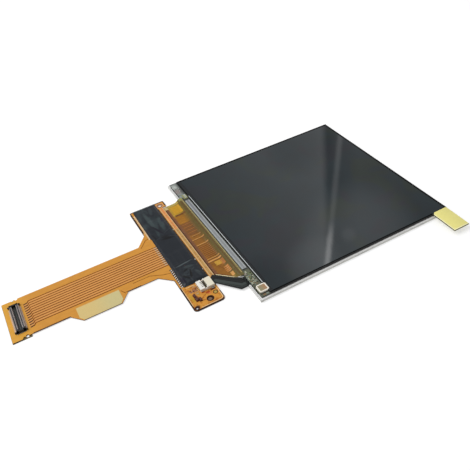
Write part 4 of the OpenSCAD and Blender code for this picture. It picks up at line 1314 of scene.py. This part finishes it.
class DISPLAY_OT_conductors(bpy.types.Operator):
    """The tail's conductors, their jog by the connector and the tracks in its flared root"""

    bl_idname = "display.conductors"
    bl_label = "Tail conductors"

    jog = 0.65

    def execute(self, context):
        circuit = context.scene.display_circuit
        pitch, gap = circuit.pitch / MM, circuit.gap_width / MM
        wide = pitch - gap
        first = TAIL_HIGH - 2.4
        jog_start, jog_end, end = TAIL_END + 6.1, TAIL_END + 5.6, TAIL_END + 4.7
        root = TAPE_LOW.x + 0.02
        low, high = BOARD_TOP, BOARD_TOP + 0.01
        over, raised = high + 0.006, high + 0.014
        band, dark, plated, dark_brown = range(4)
        bm = bmesh.new()
        for i in range(circuit.gaps):
            y = first - i * pitch
            after = y - self.jog
            ribbon(bm, [(root, y), (jog_start, y), (jog_end, after)], gap, high, over, dark)
            # Wider dark ends between the plated ones by the connector
            ribbon(bm, [(jog_end + 0.08, after + 0.08), (end, after - 0.1)], gap * 1.35, high, over, dark_brown)
        for i in range(circuit.gaps - 1):
            y = first - (i + 0.5) * pitch
            after = y - self.jog
            ribbon(bm, [(root, y), (jog_start, y), (jog_end, after), (end, after)], wide, low, high, band)
            ribbon(bm, [(root, y + 0.04), (BOARD_LEFT + 0.12, y + 0.04)], wide * 0.6, high, raised, plated)
        # Thin tracks in the flares and beside the label, and painted shade along the lower edge of the tail
        flare, label, shaded_edge = BOARD_LEFT, LABEL_HIGH.x, TAIL_LOW + 0.1
        for route, width, finish in (
                ([(root, TAIL_HIGH + 1.9), (flare - 0.5, TAIL_HIGH + 1.6), (flare - 2.7, TAIL_HIGH - 0.8)],
                 0.14, dark),
                ([(root, TAIL_LOW - 0.4), (flare - 1.6, TAIL_LOW + 0.4), (flare - 4.6, TAIL_LOW + 1.9),
                  (flare - 9.0, TAIL_LOW + 1.9)], 0.14, dark),
                ([(label + 0.35, TAIL_LOW + 1.3), (label + 1.15, TAIL_LOW - 0.2)], 0.14, dark),
                ([(END_HIGH.x + 0.4, shaded_edge), (label - 12.5, shaded_edge)], 0.16, dark_brown),
                ([(label + 1.3, shaded_edge), (flare - 7.5, shaded_edge)], 0.16, dark_brown)):
            ribbon(bm, route, width, low, high, finish)
        # The last finish is darker film by the conductor ends and painted shade along the tail's lower edge
        new_piece("tail_conductors", bm, [
            covered_copper("covered_conductor", circuit.conductor, 0.9, 0.06),
            covered_copper("film_between_conductors", circuit.gap, 0.6, 0.25, 0.1),
            gold_plate("conductor_ends", "E9D2B0"), covered_copper("dark_gap_and_painted_shade", "4C2208", 0.4, 0.2)])
        return {"FINISHED"}


# ---------------------------------------------------------------- tape and components


class DISPLAY_OT_components(bpy.types.Operator):
    """Chip components with metal ends, and the larger packages under the tape"""

    bl_idname = "display.components"
    bl_label = "Components"

    def execute(self, context):
        inset = 0.02
        bm = bmesh.new()
        for low, high in solid_boxes("chip_capacitors"):
            cap = (high.y - low.y) * 0.22
            block(bm, (low.x + inset, low.y + cap * 0.6, low.z + inset),
                  (high.x - inset, high.y - cap * 0.6, high.z - inset), 0.02)
            for start, end in ((low.y, low.y + cap), (high.y - cap, high.y)):
                block(bm, (low.x, start, low.z), (high.x, end, high.z), 0.05, finish=1)
        finishes = [ceramic("brown_ceramic", "55301F"), tarnished_solder()]
        new_piece("chip_components", bm, finishes, ["chip_capacitors"], smooth_below=50)
        finish_node("supply_chips", black_resin("moulded_epoxy", "222224"), edge=0.04)
        return {"FINISHED"}


class DISPLAY_OT_tape(bpy.types.Operator):
    """Black tape draped over the components, with creases and wrinkles"""

    bl_idname = "display.tape"
    bl_label = "Black tape"

    thickness = 0.07
    border = 0.75  # the tape rises from the board to the components within this
    sag_depth = 0.1
    sag_reach = 1.6
    # Creases: from, to, height and half width
    creases = (
        ((-41.1, -5.55), (-34.8, -4.95), 0.05, 0.16),
        ((-40.9, 6.6), (-37.7, 7.6), -0.05, 0.3),
        ((-37.7, 7.6), (-34.8, 9.1), 0.07, 0.22),
        ((-38.0, 7.3), (-35.3, 5.8), -0.06, 0.28),
        ((-40.0, 17.5), (-37.3, 8.9), 0.04, 0.7),
        ((-36.4, 18.2), (-36.0, 10.7), 0.03, 0.6),
        ((-39.0, -7.3), (-37.1, -8.9), 0.07, 0.22),
        ((-37.1, -8.9), (-38.0, -11.2), -0.07, 0.26),
        ((-40.7, -9.5), (-38.5, -11.6), 0.06, 0.25),
        ((-38.1, -6.6), (-35.4, -7.7), -0.05, 0.3),
        ((-36.5, -9.7), (-35.3, -11.7), 0.05, 0.3),
    )

    def execute(self, context):
        tape = context.scene.display_tape
        wrinkle = tape.wrinkle / MM
        bumps = [b for node in ("chip_capacitors", "supply_chips") for b in solid_boxes(node)
                 if b[1].y > TAPE_LOW.y]
        top = TAPE_HIGH.z - wrinkle
        seat = BOARD_TOP + self.thickness + 0.02
        bm = bmesh.new()
        grid(bm, TAPE_LOW, TAPE_HIGH, 44, 210)
        for vert in bm.verts:
            x, y = vert.co.x, vert.co.y
            inside = min(x - TAPE_LOW.x, TAPE_HIGH.x - x, y - TAPE_LOW.y, TAPE_HIGH.y - y)
            lifted = smoothstep(inside / self.border)
            height = seat + (top - seat - self.sag(bumps, x, y)) * lifted
            height += lifted * (self.crease(x, y) + wrinkle * self.crumple(x, y))
            vert.co.z = min(height, TAPE_HIGH.z + 0.06)
        raise_faces(bm, list(bm.faces), -self.thickness)
        new_piece("component_tape", bm, [black_polyester(tape.colour)], ["board_tape"],
                  smooth_below=60)
        self.solder_spots()
        return {"FINISHED"}

    def sag(self, bumps, x, y):
        """How far the tape hangs between the components."""
        nearest = min(
            math.hypot(max(low.x - x, 0, x - high.x), max(low.y - y, 0, y - high.y)) for low, high in bumps)
        return self.sag_depth * smoothstep(nearest / self.sag_reach)

    def crease(self, x, y):
        """Sum of the creases' heights at a place."""
        total = 0
        place = Vector((x, y))
        for start, end, height, width in self.creases:
            start, end = Vector(start), Vector(end)
            along = end - start
            share = (place - start).dot(along) / along.length_squared
            off = (place - start - along * min(max(share, 0), 1)).length
            total += height * math.exp(-(off / width) ** 2)
        return total

    @staticmethod
    def crumple(x, y):
        """Soft random wrinkles, strongest in the crumpled lower end and slight in the middle."""
        amount = 0.1 + 0.7 * smoothstep((-4.8 - y) / 1.5) + 0.55 * smoothstep((y - 6.5) / 2)
        return amount * noise.fractal(Vector((x * 0.55, y * 0.4, 1.5)), 0.8, 2.0, 3)

    @staticmethod
    def solder_spots():
        """Bare solder that peeps out at the tape's sides: middle, half length and half width."""
        bm = bmesh.new()
        for x, y, reach_x, reach_y in (
                (TAPE_HIGH.x - 0.06, -5.65, 0.18, 0.22), (TAPE_HIGH.x, 8.3, 0.1, 0.22),
                (TAPE_HIGH.x + 0.02, -9.9, 0.08, 0.2), (TAPE_LOW.x, -6.5, 0.14, 0.13),
                (TAPE_LOW.x, -7.4, 0.12, 0.12)):
            low, high = (x - reach_x, y - reach_y, BOARD_TOP), (x + reach_x, y + reach_y, BOARD_TOP + 0.16)
            block(bm, low, high, 0.05)
        new_piece("solder_spots", bm, [tin_plate()], smooth_below=50)


class DISPLAY_OT_label(bpy.types.Operator):
    """Blank paper label on the tail's side tab"""

    bl_idname = "display.label"
    bl_label = "Label"

    def execute(self, context):
        finish_node("tail_label", label_paper(), edge=0.01)
        return {"FINISHED"}


# ---------------------------------------------------------------- connectors


class DISPLAY_OT_lead_connector(bpy.types.Operator):
    """White connector of the backlight lead, its contacts and solder tabs"""

    bl_idname = "display.lead_connector"
    bl_label = "Lead connector"

    def execute(self, context):
        finish_node("lead_connector_body", moulded_white("white_nylon", "F6F3EC", "E2DACA"), edge=0.03)
        finish_node("lead_connector_contacts", gold_plate(), edge=0.02)
        finish_node("lead_connector_nails", tin_plate(), edge=0.02)
        # Dark slits in the block in front of the flap
        front = FLAP_LOW.x - 0.32
        middle = (PLUG_LOW.y + PLUG_HIGH.y) / 2
        rows = [(front - 0.22, front - 0.02, middle - 1.05, middle + 1.05, 0)]
        for i in range(4):
            y = middle + (i - 1.5) * CONTACT_PITCH
            rows.append((front - 0.62, front - 0.48, y - 0.16, y + 0.12, 1))
        bm = bmesh.new()
        blocks(bm, PLUG_HIGH.z, PLUG_HIGH.z + 0.004, rows)
        new_piece("connector_slits", bm, [
            black_resin("slit_shadow", "14161A"), black_resin("soft_slit_shadow", "8A8678")])
        return {"FINISHED"}


class DISPLAY_OT_lock_flap(bpy.types.Operator):
    """Lock flap of the white connector, and the shadow line that turns with it"""

    bl_idname = "display.lock_flap"
    bl_label = "Lock flap"

    def execute(self, context):
        finish_node("lead_connector_flap", moulded_white("white_nylon_flap", "EFE8D3", "DED4BE"), edge=0.04)
        low, high = FLAP_LOW, FLAP_HIGH
        bm = bmesh.new()
        block(bm, (low.x + 0.02, low.y + 0.5, high.z), (low.x + 0.14, high.y - 0.5, high.z + 0.003))
        shadow = black_resin("flap_edge_shadow", "202224")
        new_piece("flap_shadow", bm, [shadow], body=FLAP)
        return {"FINISHED"}


class DISPLAY_OT_tail_connector(bpy.types.Operator):
    """Board-to-board connector: black housing, forty contacts and end fittings"""

    bl_idname = "display.tail_connector"
    bl_label = "Tail connector"

    middle = (SOCKET_LOW.x + SOCKET_HIGH.x) / 2
    wall_out = 1.06
    wall_in = 0.52
    end_length = 0.36
    floor = 0.12
    rounded = 0.03
    metal = 0.04

    def execute(self, context):
        finish_node("tail_connector_nails", tin_plate())
        self.housing()
        self.contacts()
        return {"FINISHED"}

    def housing(self):
        """Floor, two long walls with one deep slot between them, and full-width ends."""
        low, high = SOCKET_LOW, SOCKET_HIGH
        left, right = self.middle - self.wall_out, self.middle + self.wall_out
        floor = low.z + self.floor
        bm = bmesh.new()
        block(bm, (left, low.y, low.z), (right, high.y, floor))
        # A low ridge on the slot's floor in a lighter green grey: a painted sheen
        block(bm, (self.middle - 0.12, low.y + self.end_length, floor),
              (self.middle + 0.12, high.y - self.end_length, floor + 0.1), self.rounded, finish=1)
        for side in (-1, 1):
            inner, outer = sorted((self.middle + side * self.wall_in, self.middle + side * self.wall_out))
            block(bm, (inner, low.y, low.z), (outer, high.y, high.z), self.rounded)
        for start, end in ((low.y, low.y + self.end_length), (high.y - self.end_length, high.y)):
            block(bm, (low.x, start + 0.08, low.z), (high.x, end - 0.08, high.z - 0.2), self.rounded)
            block(bm, (left, start, low.z), (right, end, high.z), self.rounded)
        new_piece("socket_housing", bm, [
            black_resin("black_liquid_crystal_polymer", "121316"),
            black_resin("polymer_floor_painted_sheen", "343B36")], ["tail_connector_body"], smooth_below=40)

    def contacts(self):
        """Forty contacts: a foot on the board, a bend over the wall and a spring leg inside."""
        feet = solid_boxes("tail_connector_contacts")
        base, top = feet[0][0].z, SOCKET_HIGH.z
        wall_out, wall_in, metal = self.wall_out, self.wall_in, self.metal
        bm = bmesh.new()
        for low, high in feet:
            side = 1 if low.x > self.middle else -1
            foot = max(abs(low.x - self.middle), abs(high.x - self.middle))
            outer = ((foot, base + 0.02), (wall_out + 0.1, base + 0.02), (wall_out + metal, base + 0.12),
                     (wall_out + metal, top - 0.06), (wall_out - 0.12, top + 0.02))
            inner = ((wall_in + 0.16, top + 0.02), (wall_in + 0.02, top + 0.02),
                     (wall_in - metal, top - 0.06), (wall_in - metal, base + 0.3),
                     (wall_in - 0.12, base + 0.16))
            for profile in (outer, inner):
                places = [(self.middle + side * x, z) for x, z in profile]
                faces = sweep_edge(bm, [((x, low.y - 0.02, z), (x, high.y + 0.02, z)) for x, z in places])
                bmesh.ops.recalc_face_normals(bm, faces=faces)
                bmesh.ops.solidify(bm, geom=faces, thickness=metal)
        new_piece("socket_contacts", bm, [gold_plate("contact_gold", "D2C6C2", 0.4)],
                  ["tail_connector_contacts"])


# ---------------------------------------------------------------- stage


class DISPLAY_OT_stage(bpy.types.Operator):
    """Camera, soft lamp, even room light and a plain pale floor"""

    bl_idname = "display.stage"
    bl_label = "Stage"

    lamp_place = Vector((-0.5, 0.25, 0.75))
    lamp_size = 0.8
    floor_reach = 3.0
    floor_drop = 0.02 * MM
    # What the screen mirrors, at places on the screen in millimetres: a wall with one edge, its level at
    # distances from that edge, a streak of light, and soft patches (x, y, radius, strength)
    wall_edge = ((-8.3, -25.3), (25.42, 23.7))
    wall_levels = ((-45, 0.5), (-27, 0.68), (-20, 0.77), (-1.2, 1.0), (0.6, 0.43), (9, 0.6), (30, 0.52))
    wall_span = 60
    streak_line = ((-8.6, -25.51), (26.61, 17.41))
    patches = ((1.1, -20.8, 2.6, 0.25), (2, -24, 20, 0.45), (15, 24, 15, -0.2), (-24, -24, 9, -0.15),
               (-12, -25, 9, 0.35))

    def execute(self, context):
        stage = context.scene.display_stage
        self.camera(context, stage)
        self.lamp(context, stage)
        self.floor(context)
        self.room(context, stage)
        context.scene.view_settings.view_transform = "Standard"
        return {"FINISHED"}

    @staticmethod
    def camera(context, stage):
        """Camera that looks at the aim from the azimuth and elevation."""
        flat = math.cos(stage.elevation)
        ahead = Vector((-math.sin(stage.azimuth) * flat, math.cos(stage.azimuth) * flat,
                        -math.sin(stage.elevation)))
        data = bpy.data.cameras.new("camera")
        data.lens = stage.lens
        data.sensor_width = 36.0
        data.clip_start = 0.005
        camera = bpy.data.objects.new("camera", data)
        camera.location = Vector(stage.aim) - ahead * stage.distance
        camera.rotation_mode = "QUATERNION"
        camera.rotation_quaternion = ahead.to_track_quat("-Z", "Y") @ Quaternion((0, 0, 1), stage.roll)
        context.scene.collection.objects.link(camera)
        context.scene.camera = camera

    def lamp(self, context, stage):
        """Round soft lamp that shines at the middle of the panel."""
        data = bpy.data.lights.new("soft_lamp", "AREA")
        data.shape = "DISK"
        data.size = self.lamp_size
        data.energy = stage.lamp
        lamp = bpy.data.objects.new("soft_lamp", data)
        lamp.location = self.lamp_place
        lamp.rotation_mode = "QUATERNION"
        lamp.rotation_quaternion = (-self.lamp_place).to_track_quat("-Z", "Y")
        context.scene.collection.objects.link(lamp)

    def floor(self, context):
        """Wide sheet of paper just below the module."""
        bm = bmesh.new()
        bmesh.ops.create_grid(bm, x_segments=1, y_segments=1, size=self.floor_reach)
        bmesh.ops.translate(bm, vec=(0, 0, -self.floor_drop), verts=bm.verts)
        mesh = bpy.data.meshes.new("floor")
        bm.to_mesh(mesh)
        bm.free()
        floor = bpy.data.objects.new("floor", mesh)
        context.scene.collection.objects.link(floor)
        mesh.materials.append(pale_paper())

    def room(self, context, stage):
        """Even light for matt surfaces, white where it is seen, and for gloss a wall with one clear edge."""
        world = bpy.data.worlds.new("room")
        context.scene.world = world
        world.use_nodes = True
        tree = world.node_tree
        tree.nodes.clear()
        eye = context.scene.camera.location
        way = add_node(tree, "TexCoord").outputs["Generated"]

        def mirrored(x, y):
            """Direction that the screen shows at a place on it, in millimetres."""
            ray = Vector((x, y, FRONT_HIGH.z)) * MM - eye
            ray.z = -ray.z
            return ray.normalized()

        def off_line(start, end):
            """Output: millimetres to the right of the line that joins two places on the screen."""
            across = mirrored(*start).cross(mirrored(*end)).normalized()
            start, end = Vector(start), Vector(end)
            right = (start + end) / 2 + Vector((end.y - start.y, start.x - end.x)).normalized()
            side = add_node(tree, "VectorMath", {"operation": "DOT_PRODUCT"}, {0: way, 1: across})
            off = add_node(tree, "Math", {"operation": "DIVIDE"}, {
                0: side.outputs["Value"], 1: across.dot(mirrored(*right))})
            return off.outputs["Value"]

        def patch(x, y, radius, strength, base):
            """Output: base, and that much more round a place on the screen."""
            middle = mirrored(x, y)
            near = add_node(tree, "VectorMath", {"operation": "DOT_PRODUCT"}, {0: way, 1: middle})
            spot = add_node(tree, "MapRange", {"interpolation_type": "SMOOTHSTEP"}, {
                "Value": near.outputs["Value"], "From Min": middle.dot(mirrored(x + radius, y)),
                "From Max": 1.0, "To Max": strength})
            both = add_node(tree, "Math", {"operation": "ADD"}, {0: spot.outputs["Result"], 1: base})
            return both.outputs["Value"]

        place = add_node(tree, "MapRange", inputs={
            "Value": off_line(*self.wall_edge), "From Min": -self.wall_span, "From Max": self.wall_span})
        ramp = add_node(tree, "ValToRGB", inputs={"Fac": place.outputs["Result"]})
        stops = ramp.color_ramp.elements
        while len(stops) < len(self.wall_levels):
            stops.new(0.5)
        for stop, (distance, level) in zip(stops, self.wall_levels):
            stop.position = (distance + self.wall_span) / (2 * self.wall_span)
            stop.color = (level, level, level, 1)
        # A narrow streak beside the wall's edge, brightest at its near end
        off = add_node(tree, "Math", {"operation": "ABSOLUTE"}, {0: off_line(*self.streak_line)})
        line = add_node(tree, "MapRange", {"interpolation_type": "SMOOTHSTEP"}, {
            "Value": off.outputs["Value"], "From Min": 1.2, "From Max": 0.1})
        streak = add_node(tree, "Math", {"operation": "MULTIPLY"}, {
            0: line.outputs["Result"], 1: patch(-7.5, -24.5, 10, 2.0, 0.5)})
        light = ramp.outputs["Color"]
        for x, y, radius, strength in self.patches:
            light = patch(x, y, radius, strength, light)
        wall = add_node(tree, "Math", {"operation": "ADD"}, {0: streak.outputs["Value"], 1: light})
        path = add_node(tree, "LightPath")
        shiny = add_node(tree, "Mix", {"data_type": "FLOAT"}, {
            0: path.outputs["Is Glossy Ray"], 2: stage.room, 3: wall.outputs["Value"]})
        seen = add_node(tree, "Math", {"operation": "MAXIMUM"}, {
            0: path.outputs["Is Camera Ray"], 1: path.outputs["Is Transmission Ray"]})
        level = add_node(tree, "Mix", {"data_type": "FLOAT"}, {
            0: seen.outputs["Value"], 2: shiny.outputs[0], 3: 1.0})
        back = add_node(tree, "Background", inputs={"Color": (1, 1, 1, 1), "Strength": level.outputs[0]})
        add_node(tree, "OutputWorld", inputs={"Surface": back.outputs["Background"]})


def pale_paper():
    # Matt pale paper that keeps a shadow, and is lifted to white where it is seen, straight, mirrored or
    # through glass. From below it is clear, so that the module's back can be looked at
    material = bpy.data.materials.new("pale_paper")
    material.use_nodes = True
    tree = material.node_tree
    tree.nodes.clear()
    paper = add_node(tree, "BsdfDiffuse", inputs={"Color": "C8C8C8"})
    place = add_node(tree, "TexCoord").outputs["Object"]
    away = add_node(tree, "VectorMath", {"operation": "LENGTH"}, {0: place})
    level = add_node(tree, "MapRange", {"interpolation_type": "SMOOTHSTEP"}, {
        "Value": away.outputs["Value"], "From Min": 0.15, "From Max": 1.4, "To Min": 0.55, "To Max": 0.86})
    path = add_node(tree, "LightPath")
    straight = add_node(tree, "Math", {"operation": "MAXIMUM"}, {
        0: path.outputs["Is Camera Ray"], 1: path.outputs["Is Glossy Ray"]})
    seen = add_node(tree, "Math", {"operation": "MAXIMUM"}, {
        0: straight.outputs["Value"], 1: path.outputs["Is Transmission Ray"]})
    lift = add_node(tree, "Math", {"operation": "MULTIPLY"}, {
        0: seen.outputs["Value"], 1: level.outputs["Result"]})
    glow = add_node(tree, "Emission", inputs={"Strength": lift.outputs["Value"]})
    front = add_node(tree, "AddShader", inputs={0: paper.outputs["BSDF"], 1: glow.outputs["Emission"]})
    clear = add_node(tree, "BsdfTransparent")
    under = add_node(tree, "NewGeometry").outputs["Backfacing"]
    both = add_node(tree, "MixShader", inputs={
        0: under, 1: front.outputs["Shader"], 2: clear.outputs["BSDF"]})
    add_node(tree, "OutputMaterial", inputs={"Surface": both.outputs["Shader"]})
    return material


# ---------------------------------------------------------------- panel in the sidebar


SETTINGS = {
    "display_screen": ScreenSettings,
    "display_circuit": CircuitSettings,
    "display_tape": TapeSettings,
    "display_stage": StageSettings,
}
STEPS = (
    DISPLAY_OT_stage, DISPLAY_OT_tray, DISPLAY_OT_backlight, DISPLAY_OT_cell, DISPLAY_OT_ground_dot,
    DISPLAY_OT_pull_tab, DISPLAY_OT_amber_film, DISPLAY_OT_lead, DISPLAY_OT_board, DISPLAY_OT_conductors,
    DISPLAY_OT_components, DISPLAY_OT_tape, DISPLAY_OT_label, DISPLAY_OT_lead_connector,
    DISPLAY_OT_lock_flap, DISPLAY_OT_tail_connector,
)


class DISPLAY_PT_builder(bpy.types.Panel):
    """Settings of the display module, and a button for each of its pieces"""

    bl_label = "Display Module"
    bl_idname = "DISPLAY_PT_builder"
    bl_space_type = "VIEW_3D"
    bl_region_type = "UI"
    bl_category = "Display"

    def draw(self, context):
        for name in SETTINGS:
            group = getattr(context.scene, name)
            column = self.layout.column()
            for key in group.bl_rna.properties.keys():
                if key not in {"rna_type", "name"}:
                    column.prop(group, key)
        for step in STEPS:
            self.layout.operator(step.bl_idname)


CLASSES = (*SETTINGS.values(), *STEPS, DISPLAY_PT_builder)


def register():
    for cls in CLASSES:
        bpy.utils.register_class(cls)
    for name, group in SETTINGS.items():
        setattr(bpy.types.Scene, name, bpy.props.PointerProperty(type=group))


def unregister():
    for name in SETTINGS:
        delattr(bpy.types.Scene, name)
    for cls in reversed(CLASSES):
        bpy.utils.unregister_class(cls)


def main():
    """Builds every piece."""
    register()
    for step in STEPS:
        group, name = step.bl_idname.split(".")
        getattr(getattr(bpy.ops, group), name)()


if __name__ == "__main__":
    main()
